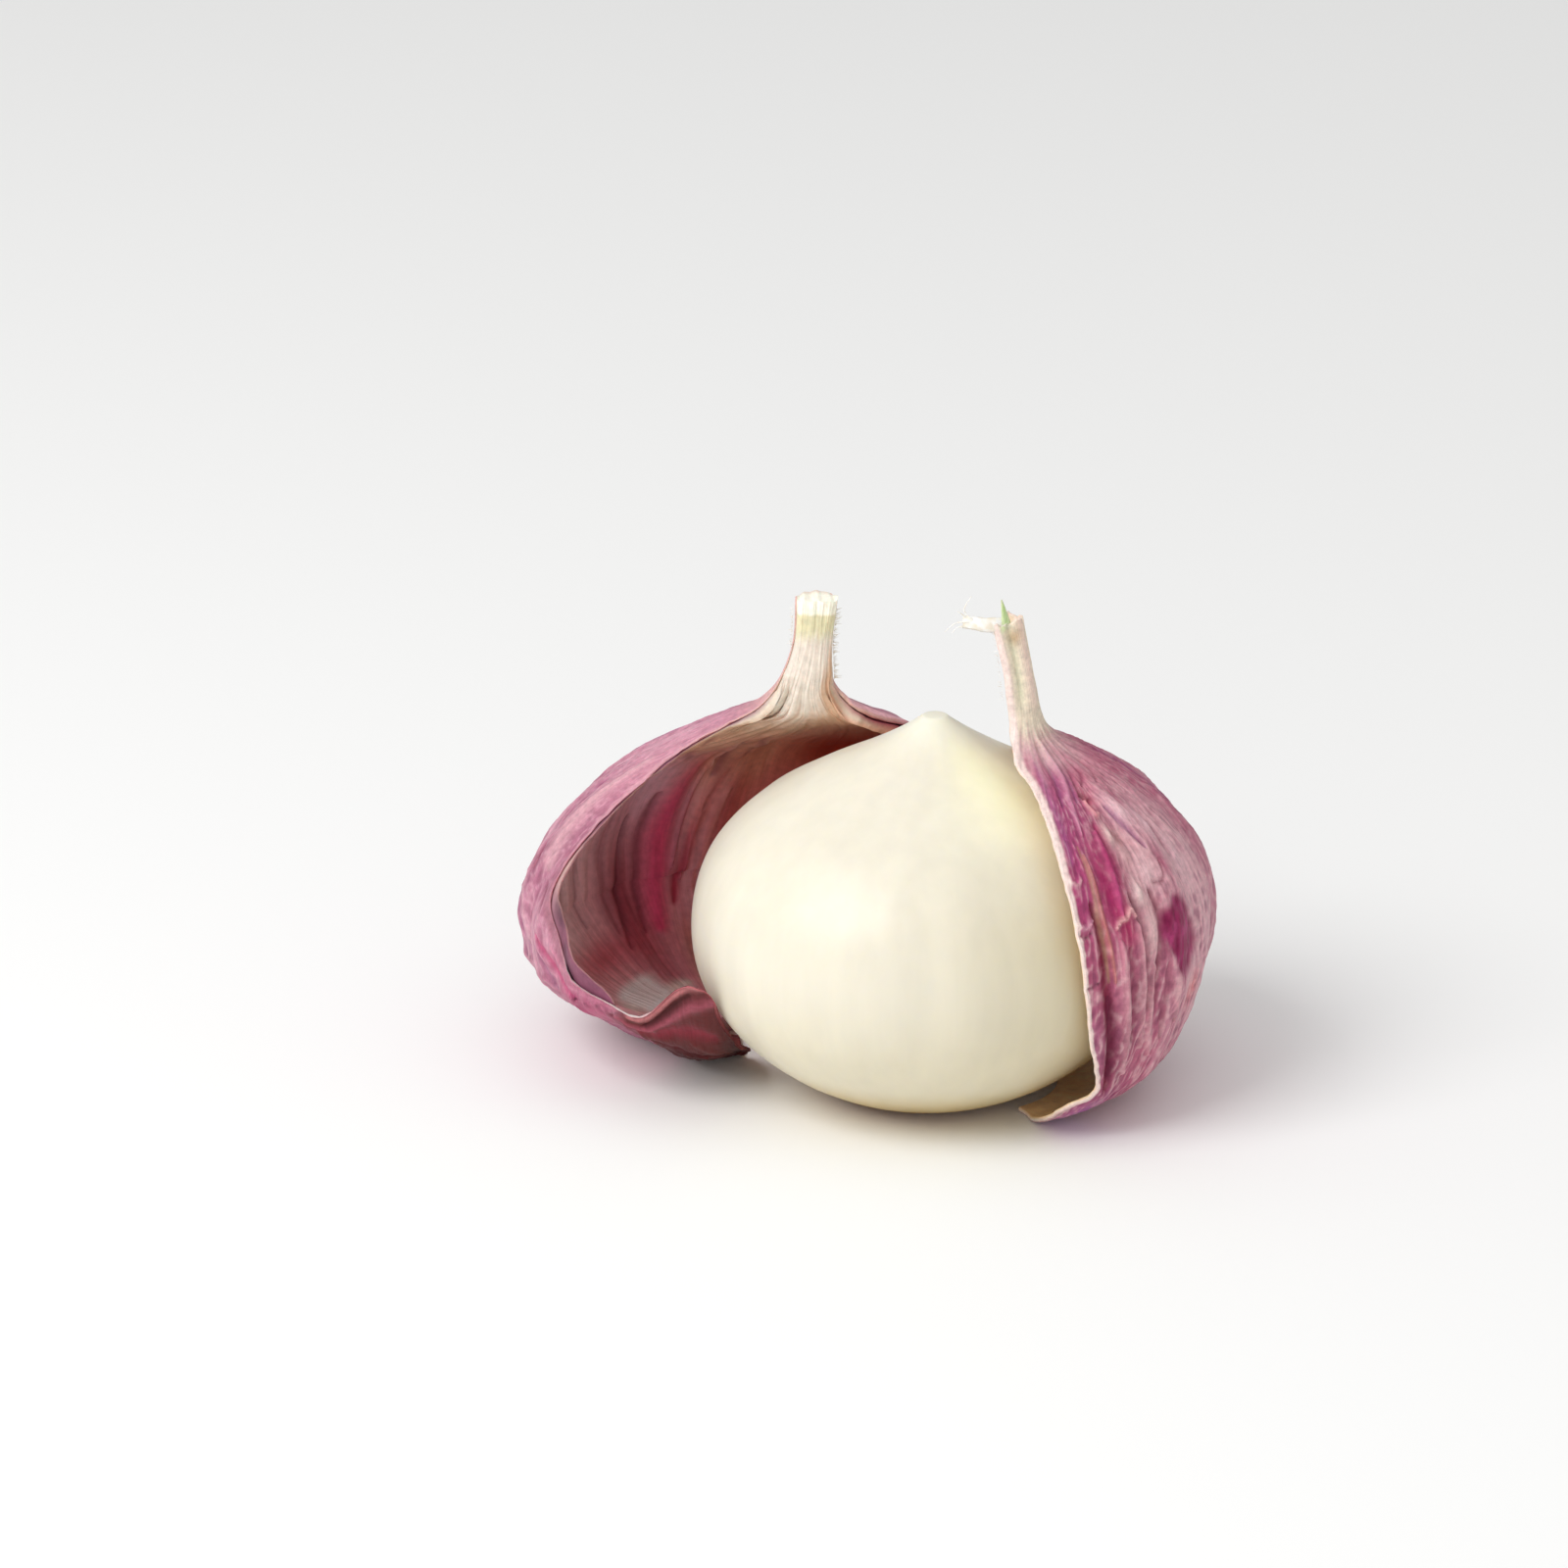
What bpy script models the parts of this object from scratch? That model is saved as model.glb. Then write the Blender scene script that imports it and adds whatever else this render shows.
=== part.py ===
"""Single-clove garlic, opened: the peeled clove stands between the two halves of its papery skin.

Run with: blender --background --python part.py
Metres, +Z up. The origin is the centre of the flat scar that the clove stands on, and -Y faces the viewer.
"""

import math
from collections import namedtuple

import bmesh
import bpy
import numpy as np

MM = 0.001

# The clove is turned, then squeezed a little out of round. Radius and height, from the base scar to the tip.
CLOVE_PROFILE = [
    (4.4, 0.0), (8.2, 0.9), (12.8, 3.8), (16.2, 8.0), (17.2, 12.6), (16.1, 17.2),
    (13.1, 21.0), (9.0, 23.8), (5.4, 25.8), (2.9, 27.3), (1.2, 28.5),
]
CLOVE_SIDES = 40
CLOVE_RINGS = 20
CLOVE_LOBE = 0.012
THREE_LOBE_SHARE = 0.6
LOBE_TURNS = (0.6, -1.0)
TIP_LEAN = 0.5 * MM
TIP_LEAN_HEIGHTS = (20 * MM, 28 * MM)

# A skin half is a sector of the bulb's own round, swept up a leaning axis. Each station gives the axis height
# and place in mm, the bulb's radius there, and the azimuths of the two torn rims in degrees, where 0 is +X
# and -90 faces the viewer. Stations run from the root plate to the cut top of the neck.
Station = namedtuple("Station", "height axis_x axis_y radius front back")

LEFT_HALF = [
    Station(0.0, -13.9, 9.4, 1.0, -86, -324),
    Station(0.1, -13.8, 9.4, 5.0, -86, -324),
    Station(1.4, -13.5, 9.4, 9.7, -86, -323),
    Station(3.8, -13.0, 9.3, 13.9, -97, -322),
    Station(6.6, -12.6, 9.2, 16.7, -103, -322),
    Station(8.0, -12.2, 9.1, 17.4, -131, -322),
    Station(11.4, -11.5, 9.0, 18.3, -145, -322),
    Station(15.6, -10.6, 8.7, 17.4, -160, -323),
    Station(20.0, -9.7, 8.5, 14.2, -165, -326),
    Station(23.6, -9.05, 8.2, 9.2, -172, -333),
    Station(25.0, -9.05, 8.0, 6.7, -176, -342),
    Station(26.1, -8.95, 8.0, 4.6, -178, -351),
    Station(26.9, -8.9, 8.0, 3.4, -180, -357),
    Station(28.6, -8.85, 8.0, 2.15, -180, -360),
    Station(31.6, -8.4, 8.0, 1.55, -180, -360),
    Station(35.2, -8.1, 8.0, 1.65, -180, -360),
]
RIGHT_HALF = [
    Station(0.0, 3.0, 0.0, 6.8, -56, 60),
    Station(0.1, 3.0, 0.0, 9.2, -59, 60),
    Station(1.6, 3.0, 0.1, 12.6, -62, 60),
    Station(2.8, 2.95, 0.2, 14.2, -60, 60),
    Station(4.2, 2.9, 0.3, 15.5, -54, 60),
    Station(8.2, 2.8, 1.0, 17.3, -59, 60),
    Station(12.2, 2.7, 1.4, 18.2, -61.5, 60),
    Station(16.4, 2.8, 1.3, 17.7, -63.5, 60),
    Station(20.2, 3.2, 0.9, 15.3, -65, 62),
    Station(23.4, 4.0, 0.2, 11.4, -66, 66),
    Station(25.8, 5.2, -0.6, 7.0, -72, 75),
    Station(28.2, 6.1, -1.3, 2.7, -92, 80),
    Station(32.0, 6.1, -1.6, 1.6, -112, 70),
    Station(37.2, 5.2, -1.8, 1.6, -112, 70),
]

SKIN_THICKNESS = 0.6 * MM
LAYER_GAP = 0.55 * MM

# The dry skin puckers in two trains of ridges, which wander a little sideways up the body
PLEATS_ROUND = 20
SLOW_PLEATS = 0.61
SLOW_PLEAT_SHARE = 0.6
SLOW_PLEAT_TURN = 1.3
PLEAT_DEPTH = 0.28 * MM
PLEATED_HEIGHT = 30.0 * MM
WANDER = 0.5
WANDER_HEIGHT = 5 * MM

# Where the left half's hem is tucked in, beside the tongue and under it: how deep in mm, the azimuth and how
# wide in degrees, the height and how high in mm. The radii are where the hollows fade out toward the root.
Hollow = namedtuple("Hollow", "depth azimuth wide height high")
HEM_HOLLOWS = [Hollow(2.7, -140, 20, 3.0, 2.0), Hollow(2.9, -90, 15, 1.7, 2.0)]
HOLLOW_RADII = (4.0, 8.0)

# How far the left half's outer skin has torn back from the inner skin's rim, in degrees, and at what height
RIM_STEP = 5.5
RIM_STEP_HEIGHT = 10.5
RIM_STEP_RISE = 5.5

# The tongue of outer skin at the left half's foot, pulled up and out in front of the clove: the azimuths that
# it rises between, the heights, and how far it goes along Y and Z
TONGUE_AZIMUTHS = (-119.0, -104.0)
TONGUE_HEIGHTS = (3.0 * MM, 7.0 * MM)
TONGUE_PULL = (-1.7 * MM, 4.2 * MM)
TONGUE_CEILING = 15.0 * MM

# The inner skin is trimmed at its front and back rims, in degrees, and leaves the tongue out
INNER_FRONT_LIMIT = -129.0
INNER_TRIMS = (0.5, 3.0)
ROOT_PLATE_RADIUS = 4.5 * MM
ROOT_PLATE_THICKNESS = 1.2 * MM
NECK_FILL_LOW = 24.5 * MM
NECK_FILL_HIGH = 28.0 * MM
# The chord across the neck's core ends short of its axis, by this share of the neck's radius
MOST_SINK = 0.8

NUDGE = 1e-3
ROWS_PER_STATION = 2
MOST_RIM_SWING = 6.0


def clear_scene():
    for old in list(bpy.data.objects):
        bpy.data.objects.remove(old)


def material(name, colour, roughness):
    """A plain Principled finish; colour is linear RGB."""
    made = bpy.data.materials.new(name)
    made.use_nodes = True
    shader = made.node_tree.nodes["Principled BSDF"]
    shader.inputs["Base Color"].default_value = (*colour, 1.0)
    shader.inputs["Roughness"].default_value = roughness
    shader.inputs["Metallic"].default_value = 0.0
    return made


def add_object(name, mesh, finish, collection):
    mesh.materials.append(finish)
    made = bpy.data.objects.new(name, mesh)
    collection.objects.link(made)
    return made


def along(points, t):
    """The Catmull-Rom curve through the points, at t from 0 to their count less 1."""
    last = len(points) - 1
    i = min(int(t), last - 1)
    before, here, there, after = (np.array(points[max(0, min(last, j))], float) for j in range(i - 1, i + 3))
    f = t - i
    return 0.5 * (
        2 * here
        + (there - before) * f
        + (2 * before - 5 * here + 4 * there - after) * f**2
        + (3 * here - before - 3 * there + after) * f**3
    )


def smooth_step(low, high, x):
    f = min(1.0, max(0.0, (x - low) / (high - low)))
    return f * f * (3 - 2 * f)


def squeezed(point):
    """The clove's flesh isn't quite round, and its tip leans."""
    azimuth = math.atan2(point.y, point.x)
    two_turn, three_turn = LOBE_TURNS
    wave = math.cos(2 * azimuth + two_turn) + THREE_LOBE_SHARE * math.cos(3 * azimuth + three_turn)
    lobes = 1 + CLOVE_LOBE * wave / (1 + THREE_LOBE_SHARE)
    tip = smooth_step(*TIP_LEAN_HEIGHTS, point.z)
    return (point.x * lobes + tip * TIP_LEAN, point.y * lobes, point.z)


def make_clove(finish, collection):
    """A profile turned about Z, from the tip down to the flat scar, then squeezed."""
    steps = np.linspace(len(CLOVE_PROFILE) - 1, 0, CLOVE_RINGS)
    rings = [along(CLOVE_PROFILE, t) * MM for t in steps]
    outline = [(0, rings[0][1]), *rings, (0, 0)]
    mesh = bpy.data.meshes.new("clove_profile")
    mesh.from_pydata([(r, 0, z) for r, z in outline], [(i, i + 1) for i in range(len(outline) - 1)], [])
    turned = add_object("clove_profile", mesh, finish, collection)
    screw = turned.modifiers.new("Turn", "SCREW")
    screw.steps = screw.render_steps = CLOVE_SIDES
    screw.use_merge_vertices = True
    screw.merge_threshold = 1e-5
    screw.use_smooth_shade = True
    graph = bpy.context.evaluated_depsgraph_get()
    body = bpy.data.meshes.new_from_object(turned.evaluated_get(graph))
    bpy.data.objects.remove(turned)
    for vertex in body.vertices:
        vertex.co = squeezed(vertex.co)
    made = bpy.data.objects.new("clove", body)
    collection.objects.link(made)
    return made


def pleat(azimuth, height):
    """How far the dry skin is puckered in or out, in ridges that run from the neck to the root plate."""
    wander = WANDER * math.sin(height / WANDER_HEIGHT)
    wave = math.sin(PLEATS_ROUND * azimuth + wander)
    wave += SLOW_PLEAT_SHARE * math.sin(SLOW_PLEATS * PLEATS_ROUND * azimuth - wander + SLOW_PLEAT_TURN)
    body = math.sin(math.pi * min(1.0, max(0.0, height / PLEATED_HEIGHT)))
    return PLEAT_DEPTH * wave * body


def bump_at(x, centre, width):
    """A smooth hump of height 1."""
    return math.exp(-(((x - centre) / width) ** 2))


def hem_hollow(degrees, height, radius):
    """How far the left half's hem is tucked in at a place given in degrees and mm."""
    depth = sum(
        hollow.depth * bump_at(degrees, hollow.azimuth, hollow.wide) * bump_at(height, hollow.height, hollow.high)
        for hollow in HEM_HOLLOWS
    )
    return depth * MM * smooth_step(*HOLLOW_RADII, radius)


def row_places(half):
    """Where the rows of a skin half lie along its stations: closer together where its front rim swings fast."""
    places = [0.0]
    for i, (low, high) in enumerate(zip(half, half[1:])):
        count = max(ROWS_PER_STATION, math.ceil(abs(high.front - low.front) / MOST_RIM_SWING))
        places += [i + (n + 1) / count for n in range(count)]
    return places


def skin_point(half, u, v):
    """The outermost surface of a skin half: u runs from the front rim to the back one, v up from the root plate."""
    height, axis_x, axis_y, radius, front, back = along(half, v)
    height = max(0.0, height)
    degrees = front + (back - front) * u
    azimuth = math.radians(degrees)
    reach = radius * MM + pleat(azimuth, height * MM)
    if axis_x < 0:
        reach -= hem_hollow(degrees, height, radius)
    return np.array([
        axis_x * MM + reach * math.cos(azimuth),
        axis_y * MM + reach * math.sin(azimuth),
        height * MM,
    ])


def sunk_point(half, u, v, depth):
    """The point that lies this deep under the outermost surface."""
    u_low, u_high = max(0.0, u - NUDGE), min(1.0, u + NUDGE)
    v_low, v_high = max(0.0, v - NUDGE), min(len(half) - 1.0, v + NUDGE)
    across = skin_point(half, u_high, v) - skin_point(half, u_low, v)
    up = skin_point(half, u, v_high) - skin_point(half, u, v_low)
    normal = np.cross(across, up)
    normal /= np.linalg.norm(normal)
    turn = 1.0 if half[0].back > half[0].front else -1.0
    return skin_point(half, u, v) - turn * normal * depth


def tongue_pull(point):
    """How far the left half's rim is pulled into a tongue where its foot comes round in front of the clove."""
    foot = LEFT_HALF[3]
    azimuth = math.degrees(math.atan2(point[1] - foot.axis_y * MM, point[0] - foot.axis_x * MM))
    if point[2] > TONGUE_CEILING or not TONGUE_AZIMUTHS[0] < azimuth < 0:
        return np.zeros(3)
    share = smooth_step(*TONGUE_AZIMUTHS, azimuth) * smooth_step(*TONGUE_HEIGHTS, point[2])
    return share * np.array([0, *TONGUE_PULL])


def outer_half(half):
    """The same half with its front rim torn back from the inner skin's."""
    return [
        station._replace(front=station.front - RIM_STEP * bump_at(station.height, RIM_STEP_HEIGHT, RIM_STEP_RISE))
        for station in half
    ]


def make_sheet(name, half, places, columns, finish, collection, pull=None):
    """An open sheet laid on the half's surface, given its thickness by Solidify."""
    shaper = bmesh.new()
    bmesh.ops.create_grid(shaper, x_segments=columns, y_segments=len(places) - 1, size=0.5)
    for vertex in shaper.verts:
        u, v = vertex.co.x + 0.5, places[round((vertex.co.y + 0.5) * (len(places) - 1))]
        place = sunk_point(half, u, v, SKIN_THICKNESS / 2)
        if pull:
            place += pull(place)
        vertex.co = place
    if half[0].back < half[0].front:
        bmesh.ops.reverse_faces(shaper, faces=shaper.faces[:])
    for face in shaper.faces:
        face.smooth = True
    mesh = bpy.data.meshes.new(name)
    shaper.to_mesh(mesh)
    shaper.free()
    sheet = add_object(name, mesh, finish, collection)
    solidify = sheet.modifiers.new("Thickness", "SOLIDIFY")
    solidify.thickness = SKIN_THICKNESS
    solidify.offset = 0.0
    solidify.use_even_offset = True
    return sheet


def inner_half(half):
    """The same half for the inner skin: its rims trimmed back, and short of the tongue."""
    front, back = INNER_TRIMS
    return [
        station._replace(front=min(station.front, INNER_FRONT_LIMIT) - front, back=station.back + back)
        for station in half
    ]


def inner_section(half, v, columns):
    """One closed section of the inner skin: a thin crescent in the cup, and a half disc in the neck."""
    outer_depth = SKIN_THICKNESS + LAYER_GAP
    steps = np.linspace(0, 1, columns + 1)
    outer = [sunk_point(half, u, v, outer_depth) for u in steps]
    height, _, _, radius, _, _ = along(half, v) * MM
    thickness = SKIN_THICKNESS
    if height < ROOT_PLATE_RADIUS:
        thickness += ROOT_PLATE_THICKNESS * (1 - smooth_step(ROOT_PLATE_RADIUS / 2, ROOT_PLATE_RADIUS, radius))
    inner_depth = outer_depth + thickness
    if height > NECK_FILL_LOW:
        inner_depth = min(inner_depth, MOST_SINK * radius)
    inner = [sunk_point(half, u, v, inner_depth) for u in steps]
    fill = smooth_step(NECK_FILL_LOW, NECK_FILL_HIGH, height)
    chord = [inner[0] + (inner[-1] - inner[0]) * u for u in steps]
    filled = [a + (b - a) * fill for a, b in zip(inner, chord)]
    return outer + filled[::-1]


def make_inner_skin(name, whole_half, places, columns, finish, collection):
    """A loft between unlike sections, from the root plate up to the solid pale core of the cut neck."""
    half = inner_half(whole_half)
    shaper = bmesh.new()
    rings = []
    for v in places:
        rings.append([shaper.verts.new(p) for p in inner_section(half, v, columns)])
    around = len(rings[0])
    for low, high in zip(rings, rings[1:]):
        for i in range(around):
            j = (i + 1) % around
            shaper.faces.new((low[i], low[j], high[j], high[i]))
    for ring in (rings[0], rings[-1]):
        for i in range(columns):
            shaper.faces.new((ring[i], ring[i + 1], ring[around - 2 - i], ring[around - 1 - i]))
    bmesh.ops.recalc_face_normals(shaper, faces=shaper.faces[:])
    if shaper.calc_volume(signed=True) < 0:
        bmesh.ops.reverse_faces(shaper, faces=shaper.faces[:])
    mesh = bpy.data.meshes.new(name)
    shaper.to_mesh(mesh)
    shaper.free()
    return add_object(name, mesh, finish, collection)


def build():
    clear_scene()
    collection = bpy.data.collections.new("single_clove_garlic")
    bpy.context.scene.collection.children.link(collection)
    flesh = material("clove_flesh", (0.86, 0.80, 0.60), 0.35)
    purple = material("purple_skin", (0.45, 0.13, 0.24), 0.6)
    tan = material("inner_skin", (0.40, 0.20, 0.16), 0.55)
    make_clove(flesh, collection)
    left_rows, right_rows = row_places(LEFT_HALF), row_places(RIGHT_HALF)
    make_sheet("skin_left_outer", outer_half(LEFT_HALF), left_rows, 44, purple, collection, tongue_pull)
    make_inner_skin("skin_left_inner", LEFT_HALF, left_rows, 32, tan, collection)
    make_sheet("skin_right", RIGHT_HALF, right_rows, 40, purple, collection)


build()
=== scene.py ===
"""Single-clove garlic, opened: the waxy clove, its papery skin halves and the cut neck, round the solids.

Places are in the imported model's own frame: the clove stands on its base scar at the origin, +Z is up and -Y
faces the viewer. Blender's lengths are in metres, and the tables below are in mm and degrees. The skins repeat
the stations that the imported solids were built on.
"""

import math
from collections import namedtuple

import bpy
import numpy as np
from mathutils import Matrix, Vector


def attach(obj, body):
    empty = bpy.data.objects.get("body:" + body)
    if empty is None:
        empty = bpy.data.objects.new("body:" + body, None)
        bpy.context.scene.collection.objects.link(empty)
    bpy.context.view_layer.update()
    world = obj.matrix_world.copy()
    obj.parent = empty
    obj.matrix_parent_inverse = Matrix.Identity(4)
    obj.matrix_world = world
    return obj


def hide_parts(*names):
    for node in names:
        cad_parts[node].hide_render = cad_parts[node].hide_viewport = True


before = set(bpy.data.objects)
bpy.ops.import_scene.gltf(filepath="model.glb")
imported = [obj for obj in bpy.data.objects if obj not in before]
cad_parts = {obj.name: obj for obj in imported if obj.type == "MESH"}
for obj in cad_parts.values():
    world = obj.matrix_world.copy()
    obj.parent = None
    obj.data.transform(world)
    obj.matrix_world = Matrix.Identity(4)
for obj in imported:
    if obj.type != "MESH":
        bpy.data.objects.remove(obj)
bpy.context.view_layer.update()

MM = 0.001

# The clove's turned profile, as radius and height: the flat scar, the body and the blunt tip
CLOVE_SCAR = [(1.2, 0.0), (2.6, 0.0), (3.7, 0.0)]
CLOVE_PROFILE = [
    (4.4, 0.0), (8.2, 0.9), (12.8, 3.8), (16.2, 8.0), (17.2, 12.6), (16.1, 17.2),
    (13.1, 21.0), (9.0, 23.8), (5.4, 25.8), (2.9, 27.3), (1.2, 28.5),
]
CLOVE_TIP = [(0.95, 28.7), (0.86, 28.76), (0.78, 28.77), (0.4, 28.78)]
CLOVE_TOP = 28.5
# How far out of round it is, as a share of its radius, and how far its tip leans over and from which height
CLOVE_LOBE = 0.012
TIP_LEAN = 0.5
LEAN_HEIGHTS = (20, 28)
CLOVE_SIDES = 210
CLOVE_RINGS = 140

# A skin half is a sector of the bulb's round swept up a leaning axis: the axis height and place, the bulb's
# radius there, and the azimuths of the two torn rims, where -90 faces the viewer
Station = namedtuple("Station", "height axis_x axis_y radius front back")
LEFT_HALF = [
    Station(0.0, -13.9, 9.4, 1.0, -86, -324),
    Station(0.1, -13.8, 9.4, 5.0, -86, -324),
    Station(1.4, -13.5, 9.4, 9.7, -86, -323),
    Station(3.8, -13.0, 9.3, 13.9, -93, -322),
    Station(6.6, -12.6, 9.2, 16.7, -101, -322),
    Station(8.0, -12.2, 9.1, 17.4, -131, -322),
    Station(11.4, -11.5, 9.0, 18.3, -145, -322),
    Station(15.6, -10.6, 8.7, 17.4, -160, -323),
    Station(20.0, -9.7, 8.5, 14.2, -165, -326),
    Station(23.6, -9.05, 8.2, 9.2, -172, -333),
    Station(25.0, -9.05, 8.0, 6.7, -176, -342),
    Station(26.1, -8.95, 8.0, 4.6, -178, -351),
    Station(26.9, -8.9, 8.0, 3.4, -180, -357),
    Station(28.6, -8.85, 8.0, 2.15, -180, -360),
    Station(31.6, -8.4, 8.0, 1.55, -180, -360),
    Station(35.2, -8.1, 8.0, 1.65, -180, -360),
]
RIGHT_HALF = [
    Station(0.0, 3.0, 0.0, 6.8, -56, 60),
    Station(0.1, 3.0, 0.0, 9.2, -59, 60),
    Station(1.6, 3.0, 0.1, 12.6, -62, 60),
    Station(2.8, 2.95, 0.2, 14.2, -60, 60),
    Station(4.2, 2.9, 0.3, 15.5, -54, 60),
    Station(8.2, 2.8, 1.0, 17.3, -59, 60),
    Station(12.2, 2.7, 1.4, 18.2, -61.5, 60),
    Station(16.4, 2.8, 1.3, 17.7, -63.5, 60),
    Station(20.2, 3.2, 0.9, 15.3, -65, 62),
    Station(23.4, 4.0, 0.2, 11.4, -66, 66),
    Station(25.8, 5.2, -0.6, 7.0, -72, 75),
    Station(28.2, 6.1, -1.3, 2.7, -92, 80),
    Station(32.0, 6.1, -1.6, 1.6, -112, 70),
    Station(37.2, 5.2, -1.8, 1.6, -112, 70),
]

# The broad puckers of a dry skin: how many go round, how deep they are and how high up they end
PLEATS_ROUND = 20
PLEAT_DEPTH = 0.28
PLEATED_HEIGHT = 30.0
# The radius that turns an azimuth into a distance across the skin
BULB_RADIUS = 17.0

# The tongue of outer skin at the left half's foot: where it is pulled out, how far, and where its dark tone
# starts
TONGUE_AZIMUTHS = (-119.0, -104.0)
TONGUE_HEIGHTS = (3.0, 7.0)
TONGUE_PULL = (-1.7, 4.2)
TONGUE_CEILING = 15.0
TONGUE_EDGE = (-136, -121)
TONGUE_TOP = (8.0, 11.0)
# Where the hem is tucked in beside the tongue and under it: how deep, the azimuth and how wide, the height
# and how high
Hollow = namedtuple("Hollow", "depth azimuth wide height high")
HEM_HOLLOWS = [Hollow(2.7, -140, 20, 3.0, 2.0), Hollow(2.9, -90, 15, 1.7, 2.0)]
HOLLOW_RADII = (4.0, 8.0)
# How far the left outer skin's front rim has torn back from the lining's, in degrees, and round which
# height; and how far its back rim has torn back in the neck, and between which heights
RIM_STEP = 5.5
RIM_STEP_HEIGHT = 10.5
RIM_STEP_RISE = 5.5
NECK_STEP = 26.0
NECK_STEP_HEIGHTS = (27.0, 29.5)

# Thicknesses of the skins, in the body and in the neck, and the least room between a skin and the clove
TUNIC_THICKNESS = 0.38
NECK_TUNIC_THICKNESS = 0.26
LINING_THICKNESS = 0.34
CLOVE_CLEARANCE = 0.16
NECK_HEIGHTS = (25.0, 30.0)
# How deep the lining lies under the bulb's face: in the body, at its front and back rims and how far in
# from them, and in the neck
LINING_DEPTH = 0.78
RIM_LINING_DEPTHS = (0.42, 0.55)
RIM_LINING_REACH = (2.0, 4.2)
NECK_LINING_DEPTH = 0.27
# Beside the neck, where the outer skin has torn back, the lining's back rim rises into the gap: how far,
# between which heights and places from rim to rim, and how much thicker it is there
BACK_RIM_RISE = 0.24
BACK_RIM_HEIGHTS = (27.5, 29.5)
BACK_RIM_PLACES = (0.86, 0.97)
BACK_RIM_THICKENING = 0.75
# Where the lining's front rim stops, and how much its rims are trimmed, in degrees
INNER_FRONT_LIMIT = -129.0
INNER_TRIMS = (0.2, 1.2)
# Between which heights the pale core fills the neck, and lower down in the funnel that it flares into;
# where the funnel's left and right edges lie from rim to rim; and how far the core stands out at its rims
# and in its middle
NECK_FILL = (24.8, 29.6)
FUNNEL_FILL = (17.5, 30.0)
FUNNEL_LEFT = (0.16, 0.45)
FUNNEL_RIGHT = (0.72, 0.95)
NECK_PROUD = 0.25
NECK_BULGE = 0.85
# How much thicker the lining is at the root, and between which radii
ROOT_PLATE = 1.2
ROOT_RADII = (2.2, 6.0)

# Each sheet's fine face, in columns and rows of points, and how many of them its hidden face leaves out
COLUMNS = 361
ROWS = 241
STRIDE = 3
# How strongly the rows crowd together where the front rim runs across the skin, and how the columns crowd:
# round which place from the front rim at 0 to the back one at 1, how widely and how strongly
RIM_CROWDING = 0.8
LEFT_CROWDING = (0.0, 0.25, 1.6)
LINING_CROWDING = (0.5, 0.25, 0.5)
RIGHT_CROWDING = (0.1, 0.28, 1.8)
# A torn rim's long and short rips, and how far across the skin they reach, as a share of it
LONG_RIP = 1.7
SHORT_RIP = 0.55
RIP_REACH = 0.04
# How far a torn rim's rounded edge stands out, as a share of the thickness there, and at most
LIP_SHARE = 0.35
LIP_MOST = 0.1
# The angle past which an edge is shaded sharp
SHARP_DEGREES = 62
# How deep each neck's cut end is torn down, how far down the tear reaches, how wide one tooth of it is in
# degrees, and where the left outer skin still stands: how much of it, the azimuth and how wide
LEFT_CUT_DEPTH = 3.0
CORE_CUT_DEPTH = 0.25
RIGHT_CUT_DEPTH = 0.8
TEAR_REACH = 4.0
TEAR_DEGREES = 22
LEFT_CUT_STANDS = [(0.9, -188, 14), (0.5, -350, 14)]

# How high the wrinkles and the vein net stand on each skin; the right half's wrinkles grow from front to
# far side
LEFT_WRINKLES = 0.2
LEFT_NET = 0.06
LINING_WRINKLES = 0.1
RIGHT_WRINKLES = (0.1, 0.32)
RIGHT_NET = 0.12
# They ease off at the root and towards the top, as distances along the skin, and by what share at the top
ROOT_EASE = (1.5, 6)
TOP_EASE = (12, 6)
TOP_EASE_SHARE = 0.75
# The left outer skin's rim curls out low down and higher up, over a short reach; it thins out by a share
RIM_CURLS = (0.08, 0.03)
CURL_CEILING = 9
CURL_REACH = 0.9
RIM_TAPER = 0.5
RIM_TAPER_REACH = 1.6
# The lining's rim turns back by this much over this reach
LINING_LIP = 0.15
LINING_LIP_REACH = 0.8

# The viewing angle: square to the frame's X axis and 20 degrees above the table
CAMERA_ELEVATION = 20.0
CAMERA_DISTANCE = 560 * MM
CAMERA_TARGET = (-10.44 * MM, 5.0 * MM, 21.6 * MM)
VIEW_WIDTH = 115.2 * MM

# What is painted on a skin, each with its tone, how much of it, and how far it stands out of the face: a
# soft patch round a place; a stroke along a line; and a wash over a zone whose soft edges each run from
# where it starts to where it is full
Patch = namedtuple("Patch", "tone share rise azimuth height wide high")
Stroke = namedtuple("Stroke", "tone share rise width path")
Wash = namedtuple("Wash", "tone share azimuths heights rise", defaults=(0.0,))

# The scrap of skin that hangs off the right neck's tip, the green sprout and the threads at its end, and
# the torn edges with fuzz on them: how many fibres, how long they are, which way they lean, and the line
# they grow from
SCRAP_LINE = [
    (5.5, -2.9, 36.5), (4.8, -3.25, 36.75), (4.0, -3.4, 36.8), (3.2, -3.4, 36.95), (2.4, -3.3, 37.0),
]
SPROUT_LINE = [(5.6, -2.9, 36.2), (5.45, -3.0, 37.1), (5.3, -3.05, 37.9), (5.15, -3.1, 38.6)]
THREAD_LINES = [
    [(2.8, -3.4, 37.0), (2.1, -3.4, 37.0), (1.6, -3.5, 36.8), (1.1, -3.5, 36.3)],
    [(3.1, -3.4, 37.2), (2.5, -3.4, 37.8), (2.6, -3.3, 38.3), (3.0, -3.2, 38.9)],
    [(2.7, -3.3, 37.3), (2.2, -3.4, 37.7), (1.9, -3.5, 37.9)],
    [(2.7, -3.3, 36.7), (2.0, -3.4, 36.6), (1.6, -3.5, 36.2)],
]
Edge = namedtuple("Edge", "name count length direction line")
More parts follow.
